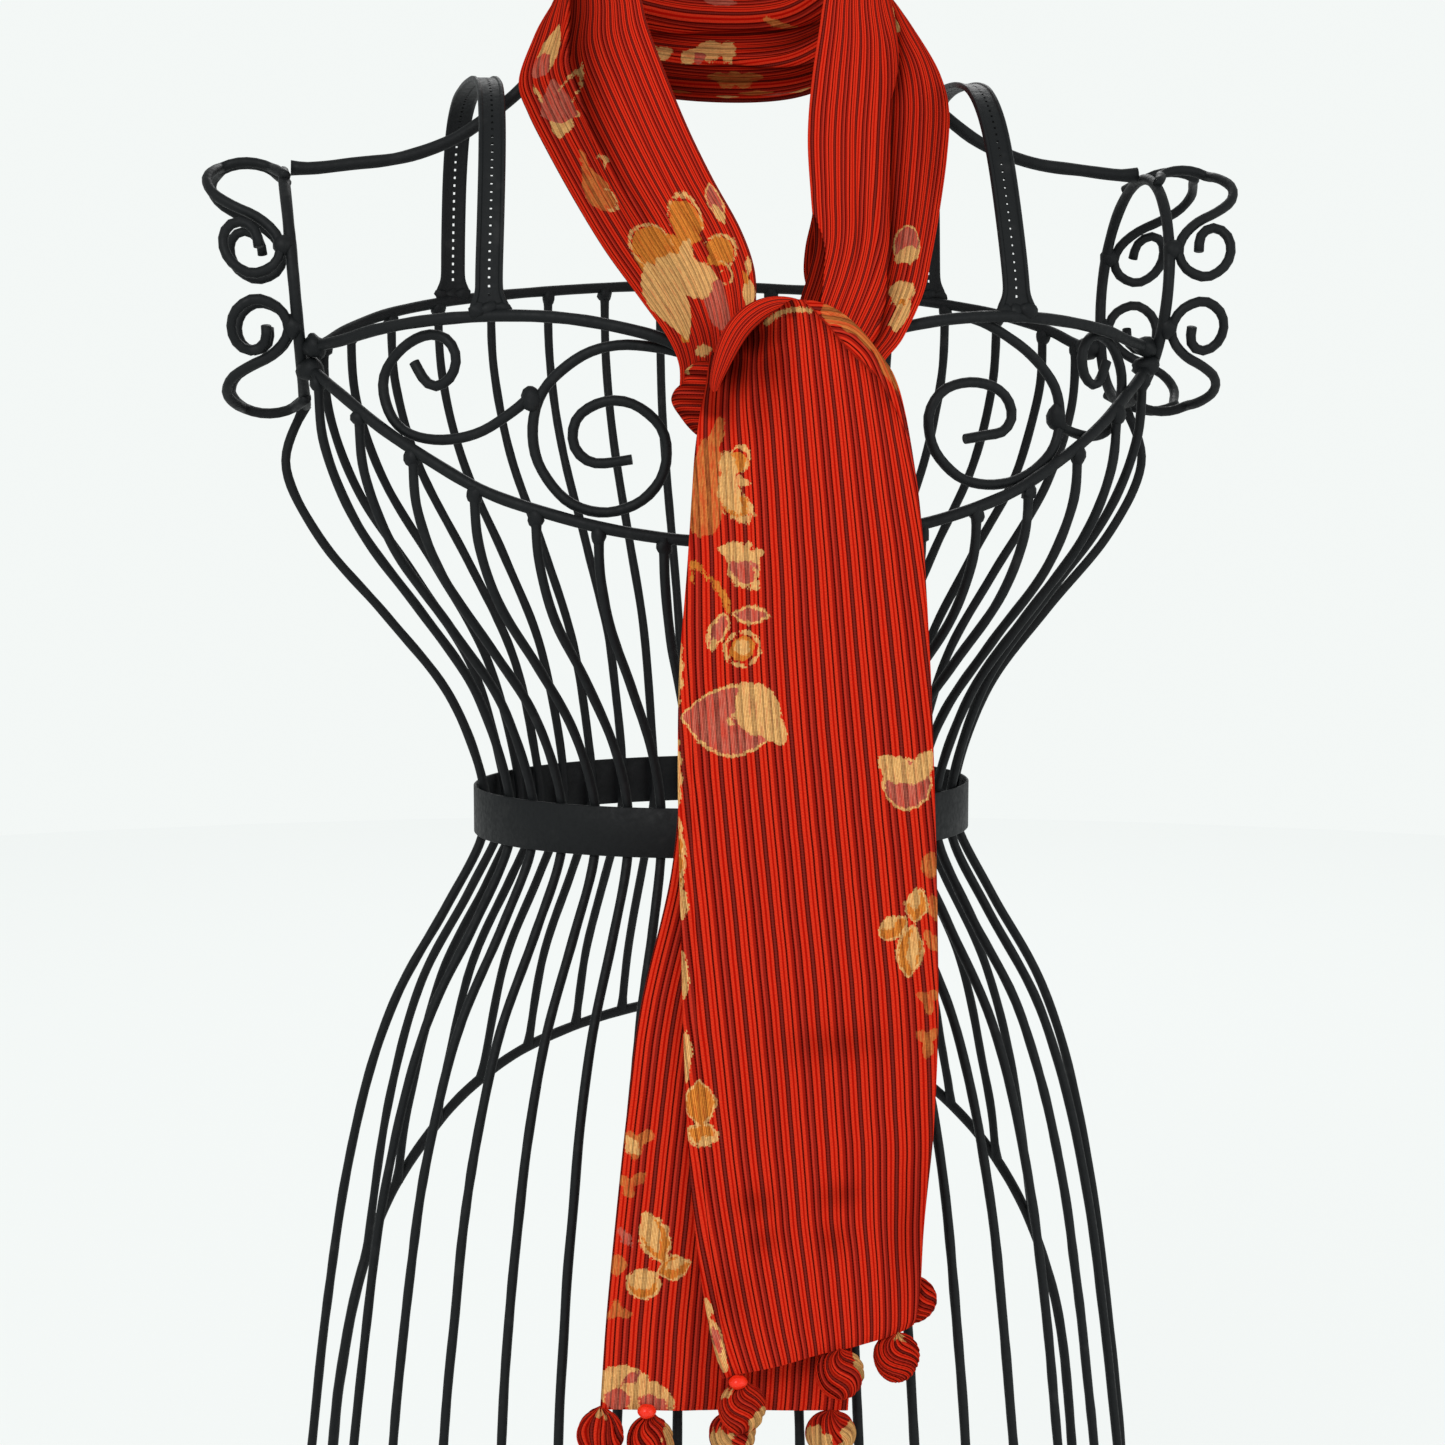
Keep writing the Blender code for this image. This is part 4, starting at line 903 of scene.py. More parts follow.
def tube_skin(place, rows, facing, relief, hem=0.0):
    """Both layers of a flat tube of cloth: points, polygons, places across and along."""
    layers = []
    alongs = None
    for side, pitch in ((1, FRONT_PITCH), (-1, REAR_PITCH)):
        u = across_steps(FLAT_WIDTH, pitch)
        middle = place(rows, u)
        if alongs is None:
            alongs = lengths(middle[:, len(u) // 2])
        normal = normals(middle) * facing
        middle = middle + normal * relief(middle, u, alongs)[..., None]
        normal = normals(middle) * facing
        edge = np.minimum(u, 1 - u) * FLAT_WIDTH
        half = HALF_CLOTH * np.sqrt(1 - (1 - np.minimum(edge / RIM, 1)) ** 2)
        half = half * (1 + EDGE_PLUMP * np.exp(-(edge / 6.0) ** 2))
        ends = np.ones(len(alongs))
        if hem:
            ends = np.minimum(ends, 0.3 + 0.7 * np.minimum(1, (alongs[-1] - alongs) / hem))
        grid = middle + normal * side * half[None, :, None] * ends[:, None, None]
        layers.append((grid, u * FLAT_WIDTH))
    (front, across), (rear, behind) = layers
    half = len(behind) // 2
    grid = np.concatenate([rear[:, half:0:-1], front, rear[:, -2:half - 1:-1]], axis=1)
    across = np.concatenate([-behind[half:0:-1], across, 2 * FLAT_WIDTH - behind[-2:half - 1:-1]])
    count, columns = grid.shape[:2]
    quads = grid_quads(count, columns)
    if facing > 0:
        quads = quads[:, ::-1]
    return grid.reshape(-1, 3), quads, np.tile(across, count), np.repeat(alongs, columns)


# Woven flowers and leaves. Distances are in millimetres, negative inside a shape.


def local(across, along, at, angle):
    c, s = math.cos(math.radians(angle)), math.sin(math.radians(angle))
    x, y = across - at[0], along - at[1]
    return x * c + y * s, -x * s + y * c


def petal(x, y, length, half):
    """A shape along the x axis whose half width is given at each place."""
    beyond = np.maximum(np.abs(x) - length / 2, 0)
    gap = (np.abs(y) - half) * 0.9
    return np.where(beyond > 0, np.hypot(beyond, np.maximum(gap, 0)), gap)


def leaf(x, y, length, width):
    share = np.clip(x / length + 0.5, 0, 1)
    return petal(x, y, length, width / 2 * np.sin(math.pi * share) ** 0.85)


def disc(x, y, length, width):
    return (np.hypot(x / (length / 2), y / (width / 2)) - 1) * min(length, width) / 2


def blossom(x, y, length, width):
    reach = length / 2 * (0.62 + 0.38 * np.abs(np.cos(np.arctan2(y, x) * 2.5)) ** 0.6)
    return (np.hypot(x, y * length / width) - reach) * 0.85


def fan(x, y, length, width):
    """Petal that is narrow at its foot and broad and round at its tip."""
    share = np.clip(x / length + 0.5, 0, 1)
    half = width / 2 * np.sin(math.pi * share ** 1.6) ** 0.6 * (1 + 0.07 * np.sin(share * 19))
    return petal(x, y, length, half)


def ring(x, y, length, width):
    return np.abs(disc(x, y, length, width)) - STROKE


def curl(x, y, length, width):
    """Line round the tip of a petal that thins out to both ends."""
    turn = np.arctan2(y / width, x / length)
    stroke = 1.3 * STROKE * np.cos(np.clip(turn * 0.72, -math.pi / 2, math.pi / 2))
    return np.abs(disc(x, y, length, width)) - stroke + 1.5 * (np.abs(turn) > 2.15)


def star(x, y, length, width):
    reach = length / 2 * (0.34 + 0.66 * np.abs(np.cos(np.arctan2(y, x) * 1.5)) ** 1.6)
    return (np.hypot(x, y * length / width) - reach) * 0.7


SHAPES = {shape.__name__: shape for shape in (leaf, disc, blossom, star, fan, ring, curl)}
UNLINED = {"wash": "pink", "amber": "gold"}


def motif_layers(motifs, across, along):
    """Distances to the woven areas: faded, cream, pink, gold and the cream on top of them."""
    layers = {key: np.full(across.shape, FAR) for key in AREAS}
    for key, rows in motifs.items():
        fill, shape = key.split()
        area = UNLINED.get(fill, fill)
        for x, y, length, width, angle in rows:
            distance = SHAPES[shape](*local(across, along, (x, y), angle), length, width)
            distance = distance + WOBBLE * np.sin(across * 0.9 + x) * np.sin(along * 0.75 + y)
            if fill in ("pink", "gold"):
                layers["cream"] = np.minimum(layers["cream"], distance)
                distance = distance + OUTLINE
            layers[area] = np.minimum(layers[area], distance)
    return layers


def cloth_piece(name, skin, motifs, material, nodes, shade=None):
    points, quads, across, along = skin
    values = motif_layers(motifs, across, along)
    values["across"], values["along"] = across * MM, along * MM
    values["shade"] = np.zeros(len(points)) if shade is None else np.clip(shade, 0, 1)
    return new_piece(name, [(points * MM, quads)], material, nodes, values)


def strand_place(rows, u):
    outer, inner = rows[:, None, 0:3], rows[:, None, 3:6]
    crown, fold, depth = (rows[:, None, i] for i in (6, 7, 8))
    crease = dip(u[None] - fold, 0.17) * depth * 1.25
    lift = crown * np.sin(math.pi * u[None]) ** 0.8 - crease
    return outer + (inner - outer) * u[None, :, None] + FORWARD * lift[..., None]


def strand_rows(table):
    rows = flow(table, 300)
    return evenly(rows, (rows[:, 0:3] + rows[:, 3:6]) / 2, CLOTH_STEP)


def fold_line(table, along):
    places = np.array(table, float)
    return np.interp(along, places[:, 0], places[:, 1])


def fold_shade(gap, reach):
    """Darkness beside a fold: deep at its line, soft on the side where the gap is above 0."""
    return np.where(gap > 0, np.exp(-(np.maximum(gap, 0) / reach) ** 1.5), np.exp(-(gap / 0.7) ** 2))


def left_shade(across, along):
    gap = across - fold_line(LEFT_FOLD, along)
    strength = np.interp(along, (0, 40, 110, 180, 230), (0.95, 0.92, 0.70, 0.25, 0.0))
    reach = np.interp(along, (20, 50, 90, 140), (30, 28, 15, 7))
    return np.maximum(fold_shade(gap, reach) * strength, 0.22 * (gap < 0))


def right_shade(points, across, along):
    gap = fold_line(RIGHT_FOLD, along) - across
    strength = np.interp(along, (0, 30, 120, 258), (0.6, 0.8, 0.85, 0.75))
    z = points[:, 2]
    inner = across - FLAT_WIDTH + np.interp(z, (776, 784, 806, 824), (24, 19, 10, 0))
    tucked = (inner > 0) & (z < 824) & (across < FLAT_WIDTH + 15)
    dark = np.where(tucked, 0.70 + 0.22 * np.exp(-inner / 2.0), 0)
    return np.maximum(fold_shade(gap, 11.0) * strength, dark)


def neck_shade(across, along):
    upper = fold_line(NECK_UPPER_FOLD, along) - across
    lower = fold_line(NECK_LOWER_FOLD, along) - across
    dark = fold_shade(upper, 8.0) * np.interp(along, (0, 140, 175, 265), (0.55, 0.6, 0.9, 0.8))
    dark = np.maximum(dark, fold_shade(lower, 9.0) * 0.85)
    dark = np.maximum(dark, 0.50 * (lower > 0))
    return np.maximum(dark, 0.72 * bump(across - 48, 9) * np.interp(along, (150, 185), (0, 1)))


def creases(table, across, along):
    """Slanting troughs that fade out along the cloth."""
    return -sum(deep * dip(across - x - slope * (along - pivot), wide) * bump(along - y, long)
                for deep, x, slope, pivot, wide, y, long in table)


def left_relief(grid, u, alongs):
    x, z = u[None] * FLAT_WIDTH, alongs[:, None]
    step = np.tanh((x - fold_line(LEFT_FOLD, z)) / 1.4) * np.interp(z, (0, 30, 120, 200), (0.3, 1, 0.8, 0))
    ridges = 0.55 * np.sin(x / 9.0 + 1.3 * np.sin(z / 70.0)) * bump(z - 60, 55)
    ridges += 0.7 * bump(x - 62 - 5 * np.sin(z / 45), 7) * bump(z - 95, 70)
    ridges += creases(LEFT_CREASES, x, z)
    return ridges + 0.25 * np.sin(x / 5.1 + z / 37) - 1.1 * step


def right_relief(grid, u, alongs):
    x, z = u[None] * FLAT_WIDTH, alongs[:, None]
    step = np.tanh((x - fold_line(RIGHT_FOLD, z)) / 1.4) * np.interp(z, (0, 30, 220, 258), (0.3, 1, 0.9, 0.2))
    ridges = 0.6 * np.sin(x / 8.3 + 1.1 * np.sin(z / 60.0)) * bump(z - 70, 70)
    ridges += 0.8 * bump(x - 22, 8) * bump(z - 110, 60) + creases(RIGHT_CREASES, x, z)
    return ridges + 0.22 * np.sin(x / 4.7 - z / 41) + 1.3 * step


def tuck_skin():
    """The strand's inner edge where it is tucked back behind the rest, a flat narrow loop of cloth."""
    rows = flow(TUCK, 60)
    columns = 20
    turn = circle(columns)
    x, y, z, wide = split(rows)
    out = wide * (np.cos(turn)[None] + 1)
    points = np.stack([x + out, y + 1.4 * np.sin(turn)[None] + 0.25 * out, z + 0 * turn[None]], axis=-1)
    across = np.tile(150 + np.cos(turn) * 9, len(rows))
    along = np.repeat(lengths(rows[:, :3]), columns)
    return points.reshape(-1, 3), grid_quads(len(rows), columns, closed=True), across, along


def neck_place(rows, u):
    degrees, low, high, low_reach, high_reach, relief = split(rows)
    turn = np.radians(degrees)
    layers = flow(np.array(NECK_LAYERS)[:, None], 60)[:, 0]
    layer = np.interp(u, np.linspace(0, 1, 61), layers)[None]
    reach = low_reach + (high_reach - low_reach) * u[None] + layer * relief
    return np.stack([-reach * np.cos(turn), np.maximum(NECK_SEAM, reach * NECK_DEPTH_SHARE * np.sin(turn)),
                     low + (high - low) * u[None]], axis=-1)


def neck_relief(grid, u, alongs):
    x, z = u[None] * FLAT_WIDTH, alongs[:, None]
    total = alongs[-1]
    folds = -1.5 * dip(x - 78 + 22 * z / total, 6) - 1.1 * dip(x - 42 - 5 * np.sin(z / 40), 5)
    folds -= 0.9 * dip(x - 20 + 10 * z / total, 5)
    folds += 0.9 * np.tanh((x - fold_line(NECK_UPPER_FOLD, z)) / 1.5)
    folds += np.tanh((x - fold_line(NECK_LOWER_FOLD, z)) / 1.5)
    return (folds + 0.5 * np.sin(x / 6 + z / 50)) * np.minimum(1, np.minimum(z, total - z) / 25)


def tail_place(rows, u):
    left, right, end_z, arch, depth, crown, curl, tilt = split(rows)
    share = u[None]
    x = left + (right - left) * share
    z = end_z + arch * (1 - np.abs(2 * share - 1) ** 2.2) + tilt * share
    turned_back = np.maximum(0.0, share - 0.8) / 0.2
    y = depth - crown * np.sin(math.pi * share) ** 0.8 + curl * turned_back ** 2
    return np.stack([x + 0 * z, y, z], axis=-1)


def back_tail_place(rows, u):
    left, right, z, depth, crown, drop = split(rows)
    share = u[None]
    y = depth - crown * np.sin(math.pi * share)
    return np.stack([left + (right - left) * share, y, z + drop * share], axis=-1)


def front_relief(grid, u, alongs):
    x, z = grid[..., 0], grid[..., 2]
    place = u[None] * FLAT_WIDTH
    low = np.clip((700 - z) / 60, 0, 1)
    flutes = 0.55 * np.sin(place / 11.0 + 0.9 * np.sin(z / 83.0)) * low
    flutes += 0.5 * np.sin(place / 6.3 + z / 120.0) * low
    dents = 0.0
    for px, pz, rx, rz, depth in FRONT_DENTS:
        dents = dents + depth * bump(x - px, rx) * bump(z - pz, rz)
    rolled = -0.9 * dip(place - 6.0, 2.2) * np.clip((640 - z) / 40, 0, 1)
    in_front = alongs[:, None] > FRONT_TOP
    return np.where(in_front, flutes - dents + rolled, 0.0)


def back_relief(grid, u, alongs):
    x, z = grid[..., 0], grid[..., 2]
    place = u[None] * FLAT_WIDTH
    low = np.clip((690 - z) / 60, 0, 1)
    flutes = 0.5 * np.sin(place / 12.0 + 1.1 * np.sin(z / 77.0)) + 0.35 * np.sin(place / 7.1 - z / 90.0)
    return flutes * low - 0.8 * dip(x + 34, 6) * bump(z - 380, 70)


def table_rows(table, place, count=420):
    """Rows of a stretch at even steps along its middle."""
    rows = flow(table, count)
    return evenly(rows, place(rows, np.array([0.5]))[:, 0], CLOTH_STEP)


def line_distance(flat, line):
    """Distance of flat points from a line of closely placed points."""
    return np.linalg.norm(flat[:, None] - line[None], axis=2).min(axis=1)


def front_looks(points, across, along):
    """The shoulder's turned edge, whose stripes meet the upright ones in a mitre, and the shade."""
    flat = points[:, [0, 2]]
    x, z = flat.T
    seen = (across >= 0) & (across <= FLAT_WIDTH) & (points[:, 1] < -150)
    top = np.flatnonzero(seen & (z > 715))
    outline, seam = flow(SHOULDER_EDGE, 80), np.array(MITRE, float)
    near = np.full(len(points), FAR)
    near[top] = line_distance(flat[top], outline)
    turned = seen & (z > 718) & (x > np.interp(z, seam[:, 0], seam[:, 1])) & (near < SHOULDER_TURN)
    values = motif_layers(FRONT_MOTIFS, across, along)
    patch = near - 6.0 * np.sqrt(np.clip(1 - ((x - 35) / 17) ** 2, 0, 1)) + 0.6 * np.sin(x * 0.8)
    values["faint"] = np.minimum(values["faint"], np.where(turned, patch, FAR))
    edge = np.full(len(points), FAR)
    edge[top] = line_distance(flat[top], flow(TOP_EDGE, 40)) - 1.1
    values["cream"] = np.minimum(values["cream"], edge)
    # Painted shade: dark in the hollows of the knot, a painted shadow along the inner side of the roll, shade
    # beside the mitre and in the dents
    shade = np.zeros(len(points))
    for px, pz, degrees, long, wide, depth in TAIL_HOLLOWS:
        s, t = local(x, z, (px, pz), degrees)
        shade = np.maximum(shade, depth * bump(s, long) * bump(t, wide))
    roll = flow(EDGE_ROLL, 90)
    gap = np.full(len(points), FAR)
    gap[top] = line_distance(flat[top], roll[:, [0, 2]]) - 4.5
    shade = np.maximum(shade, 0.65 * np.exp(-(np.maximum(gap, 0) / 3.0) ** 2) * (x < 8))
    seam_gap = np.interp(z, seam[:, 0], seam[:, 1]) - x
    shade = np.maximum(shade, 0.45 * fold_shade(seam_gap, 4.0) * np.interp(z, (728, 742), (0, 1)) * (z < 781))
    for px, pz, wide, long, depth in TAIL_DENTS:
        shade = np.maximum(shade, depth * bump(across - px, wide) * bump(along - pz, long))
    values["across"] = np.where(turned, FLAT_WIDTH - near * 1.25, across - FRONT_LEAN * along) * MM
    values["along"] = along * MM
    values["shade"] = np.where(seen, shade, 0.0)
    return values


def wrap_skin():
    """The ring of cloth round the knot, its turns pressed into ridges."""
    rows = flow(WRAP_SKIN, 44)
    count = 150
    turn = circle(count)
    cosine, sine = np.cos(turn)[None], np.sin(turn)[None]
    bulge = (np.abs(cosine) ** WRAP_SQUARENESS + np.abs(sine) ** WRAP_SQUARENESS) ** (-1 / WRAP_SQUARENESS)
    z, left, right, depth = split(rows)
    ridge = 1 + 0.03 * np.sin(turn * 3)[None]
    outer = np.stack([(right + left) / 2 + (right - left) / 2 * bulge * cosine * ridge,
                      WRAP_Y + depth * bulge * sine, z + 1.2 * np.sin(turn * 2 + 0.6)[None]], axis=-1)
    run = lengths(outer[:, count // 2])
    middle = outer[len(rows) // 2]
    round_it = lengths(np.concatenate([middle, middle[:1]]))[:-1]
    return (outer.reshape(-1, 3), ring_quads(len(rows), count), np.repeat(run, count) * 1.6,
            np.tile(round_it, len(rows)))


def roll_skin():
    """The tail's turned-over left edge: a soft roll that runs up and over the top of the knot."""
    rows = flow(EDGE_ROLL, 120)
    rows = evenly(rows, rows[:, 0:3], 0.9)
    line, radius = rows[:, 0:3], rows[:, 3]
    ahead = unit(np.gradient(line, axis=0))
    inward = unit(np.cross(ahead, (0.0, 1.0, 0.0)))
    front = np.cross(inward, ahead)
    count = 36
    run = lengths(line)
    turn = circle(count)
    twist = turn[None] + run[:, None] / 70.0
    folds = 1 + 0.08 * np.sin(3 * twist) + 0.04 * np.sin(5 * twist + 1.0)
    ring = np.cos(turn)[None, :, None] * inward[:, None] + np.sin(turn)[None, :, None] * front[:, None]
    points = line[:, None] + ring * (radius[:, None] * folds)[..., None]
    across = ((turn[None] - math.pi / 2) % (2 * math.pi) / (2 * math.pi) + 0 * run[:, None]) * ROLL_AROUND
    return points.reshape(-1, 3), ring_quads(len(rows), count), across.ravel(), np.repeat(run, count)


def ball_skin(centre, stem, pleats, twist, seed):
    """Wound ball of folded cloth, drawn up into the neck that it hangs by."""
    dice = np.random.default_rng(seed)
    rows, columns = 44, 96
    tilt = np.linspace(0.02, math.pi - 0.02, rows)[:, None]
    turn = circle(columns)[None]
    a, b, c = dice.uniform(0, 6, 3)
    wound = turn + twist * np.cos(tilt) + 0.22 * np.sin(2 * tilt + a) + 0.12 * np.sin(3 * turn + 2 * tilt + b)
    lobes = np.abs(np.sin(pleats / 2 * wound)) ** 0.45
    small = np.abs(np.sin(pleats * 1.5 * wound + c)) ** 0.6
    lumps = 1 + 0.035 * np.sin(2 * turn + a) * np.sin(tilt) + 0.03 * np.sin(3 * tilt + b)
    radius = BALL_RADIUS / MM * (0.87 + 0.13 * lobes + 0.03 * small) * lumps
    neck = np.clip((0.42 - tilt) / 0.42, 0, 1)
    out = radius * np.sin(tilt) * (1 - 0.35 * neck)
    z = radius * np.cos(tilt) + (stem + 1.4) * neck ** 1.4
    points = np.stack([out * np.cos(turn), out * np.sin(turn), z + 0 * turn], axis=-1)
    points = points + np.asarray(centre) / MM
    across = wound / (2 * math.pi) * 66.0
    along = BALL_RADIUS / MM * tilt + 0 * turn
    # painted shade: darker in the furrows between the pleats, passed on as the silk's shade value
    crease = 1 - lobes * 0.8 - 0.2 * small
    return points.reshape(-1, 3), capped_quads(rows, columns), across.ravel(), along.ravel(), crease.ravel()


def patch_distance(points, centre, patches):
    """Distance from round patches on a ball; each is a direction and a half angle in degrees."""
    away = unit(points - np.asarray(centre) / MM)
    distance = np.full(len(points), FAR)
    for azimuth, elevation, reach in patches:
        a, e = math.radians(azimuth), math.radians(elevation)
        direction = np.array([math.cos(e) * math.sin(a), -math.cos(e) * math.cos(a), math.sin(e)])
        angle = np.degrees(np.arccos(np.clip(away @ direction, -1, 1)))
        distance = np.minimum(distance, (angle - reach) * BALL_RADIUS / MM * math.pi / 180)
    return distance


def build_balls(cloth):
    for name, centre, stem in ball_places():
        pleats, twist, patches = BALL_LOOKS[name]
        points, faces, across, along, crease = ball_skin(centre, stem, pleats, twist, seed_of(name))
        wobble = 0.9 * np.sin(across * 0.9) + 0.7 * np.sin(along * 1.1 + across * 0.3)
        values = motif_layers({}, across, along)
        values["cream"] = patch_distance(points, centre, patches) + wobble
        # the pleats' painted shade goes into the shade value
        values.update({"across": across * MM, "along": along * MM, "shade": crease})
        piece = new_piece("wound_" + name, [(points * MM, faces)], cloth, [name], values)


def ball_places():
    """Name, centre and stem of each ball: hung from the hems, but for the one at the front tail's corner."""
    places = []
    for word, table, place, balls in (("front", FRONT_TAIL, tail_place, FRONT_BALLS),
                                      ("back", BACK_TAIL, back_tail_place, BACK_BALLS)):
        last = np.array([table[-1]], float)
        for number, (share, stem) in enumerate(balls, 1):
            hem = place(last, np.array([share]))[0, 0] * MM
            down = BALL_RADIUS + TOUCH + stem * MM
            places.append(("%s_ball_%d" % (word, number), hem - (0, 0, down), stem))
    places.insert(len(FRONT_BALLS), ("front_ball_4", np.array(CORNER_BALL) * MM, 0.0))
    return places


def bead(name, centre, size, material):
    """Small glass bead: a flattened ball with a dimple at its thread hole."""
    rows, columns = 24, 36
    tilt = np.linspace(0.04, math.pi - 0.04, rows)[:, None]
    turn = circle(columns)[None]
    flat = 1 - 0.35 * np.exp(-(np.minimum(tilt, math.pi - tilt) / 0.35) ** 2)
    radius = flat * (1 + 0.03 * np.sin(3 * turn + 1) + 0.02 * np.sin(5 * tilt))
    ball = np.stack([radius * np.sin(tilt) * np.cos(turn), radius * np.sin(tilt) * np.sin(turn),
                     radius * np.cos(tilt)], axis=-1)
    points = (ball * size).reshape(-1, 3) + np.asarray(centre)
    return new_piece(name, [(points * MM, capped_quads(rows, columns))], material, [])


# Materials


def node_of(tree, kind, inputs=(), **settings):
    """A node with its settings, and its inputs linked or set."""
    node = tree.nodes.new("ShaderNode" + kind)
    for key, value in settings.items():
        setattr(node, key, value)
    for socket, value in inputs:
        if isinstance(value, bpy.types.NodeSocket):
            tree.links.new(value, node.inputs[socket])
        else:
            node.inputs[socket].default_value = value
    return node


def add(tree, kind, inputs=(), **settings):
    return node_of(tree, kind, inputs, **settings).outputs[0]


def maths(tree, operation, a, b=0.0, c=0.0):
    return add(tree, "Math", [(0, a), (1, b), (2, c)], operation=operation)


def times(tree, a, b):
    return maths(tree, "MULTIPLY", a, b)


def wave(tree, place, pitch):
    return maths(tree, "SINE", times(tree, place, 2 * math.pi / pitch))


def mix(tree, factor, a, b):
    return node_of(tree, "Mix", [(0, factor), (6, a), (7, b)], data_type="RGBA").outputs[2]


def attribute(tree, name):
    return node_of(tree, "Attribute", attribute_name=name, attribute_type="GEOMETRY").outputs["Fac"]


def spread(tree, value, low, high, to_low=0.0, to_high=1.0):
    return add(tree, "MapRange", [(0, value), (1, low), (2, high), (3, to_low), (4, to_high)])


def noise(tree, place, scale, detail):
    return add(tree, "TexNoise", [("Vector", place), ("Scale", scale), ("Detail", detail)])


def pair(tree, a, b):
    return add(tree, "CombineXYZ", [(0, a), (1, b)])


def scaled(tree, colour, share):
    return add(tree, "VectorMath", [(0, colour), ("Scale", share)], operation="SCALE")


def bumped(tree, shader, strength, distance, height):
    dent = add(tree, "Bump", [("Strength", strength), ("Distance", distance), ("Height", height)])
    tree.links.new(dent, shader.inputs["Normal"])


def ramp(tree, value, stops):
    """Colour ramp; one that would pass the limit of stops is laid in two halves."""
    if len(stops) > RAMP_LIMIT:
        half = len(stops) // 2
        turn = (stops[half - 1][0] + stops[half][0]) / 2
        later = maths(tree, "GREATER_THAN", value, turn)
        return mix(tree, later, ramp(tree, value, stops[:half]), ramp(tree, value, stops[half:]))
    node = node_of(tree, "ValToRGB", [(0, value)])
    band = node.color_ramp
    while len(band.elements) > 1:
        band.elements.remove(band.elements[-1])
    for place, colour in stops:
        element = band.elements[0] if place == stops[0][0] else band.elements.new(place)
        element.position = place
        element.color = (*colour, 1.0)
    return node.outputs[0]


def new_material(name):
    material = bpy.data.materials.new(name)
    material.use_nodes = True
    tree = material.node_tree
    return material, tree, tree.nodes["Principled BSDF"]


def iron_material():
    """Black enamel over drawn wire: nearly flat, with a fine hammered grain, and thinner on bumps."""
    material, tree, shader = new_material("black_iron_enamel")
    place = node_of(tree, "TexCoord").outputs["Object"]
    grain = noise(tree, place, 420.0, 3.0)
    lumps = noise(tree, place, 95.0, 2.0)
    tint = mix(tree, spread(tree, lumps, 0.62, 0.80), (0.0055, 0.0065, 0.0072, 1), (0.013, 0.0135, 0.014, 1))
    tree.links.new(tint, shader.inputs["Base Color"])
    tree.links.new(spread(tree, grain, 0.3, 0.7, 0.50, 0.66), shader.inputs["Roughness"])
    bumped(tree, shader, 0.35, 0.0005, maths(tree, "MULTIPLY_ADD", lumps, 1.6, grain))
    shader.inputs["Specular IOR Level"].default_value = 0.16
    return material


def stripe_stops():
    """Ramp stops of the stripes: each thread's colour held up to a short blend into the next."""
    stops = []
    start = 0.0
    for thread, end in STRIPES:
        stops.append(((start + STRIPE_BLEND) * MM / STRIPE_REPEAT, THREADS[thread]))
        stops.append(((end - STRIPE_BLEND) * MM / STRIPE_REPEAT, THREADS[thread]))
        start = end
    return stops


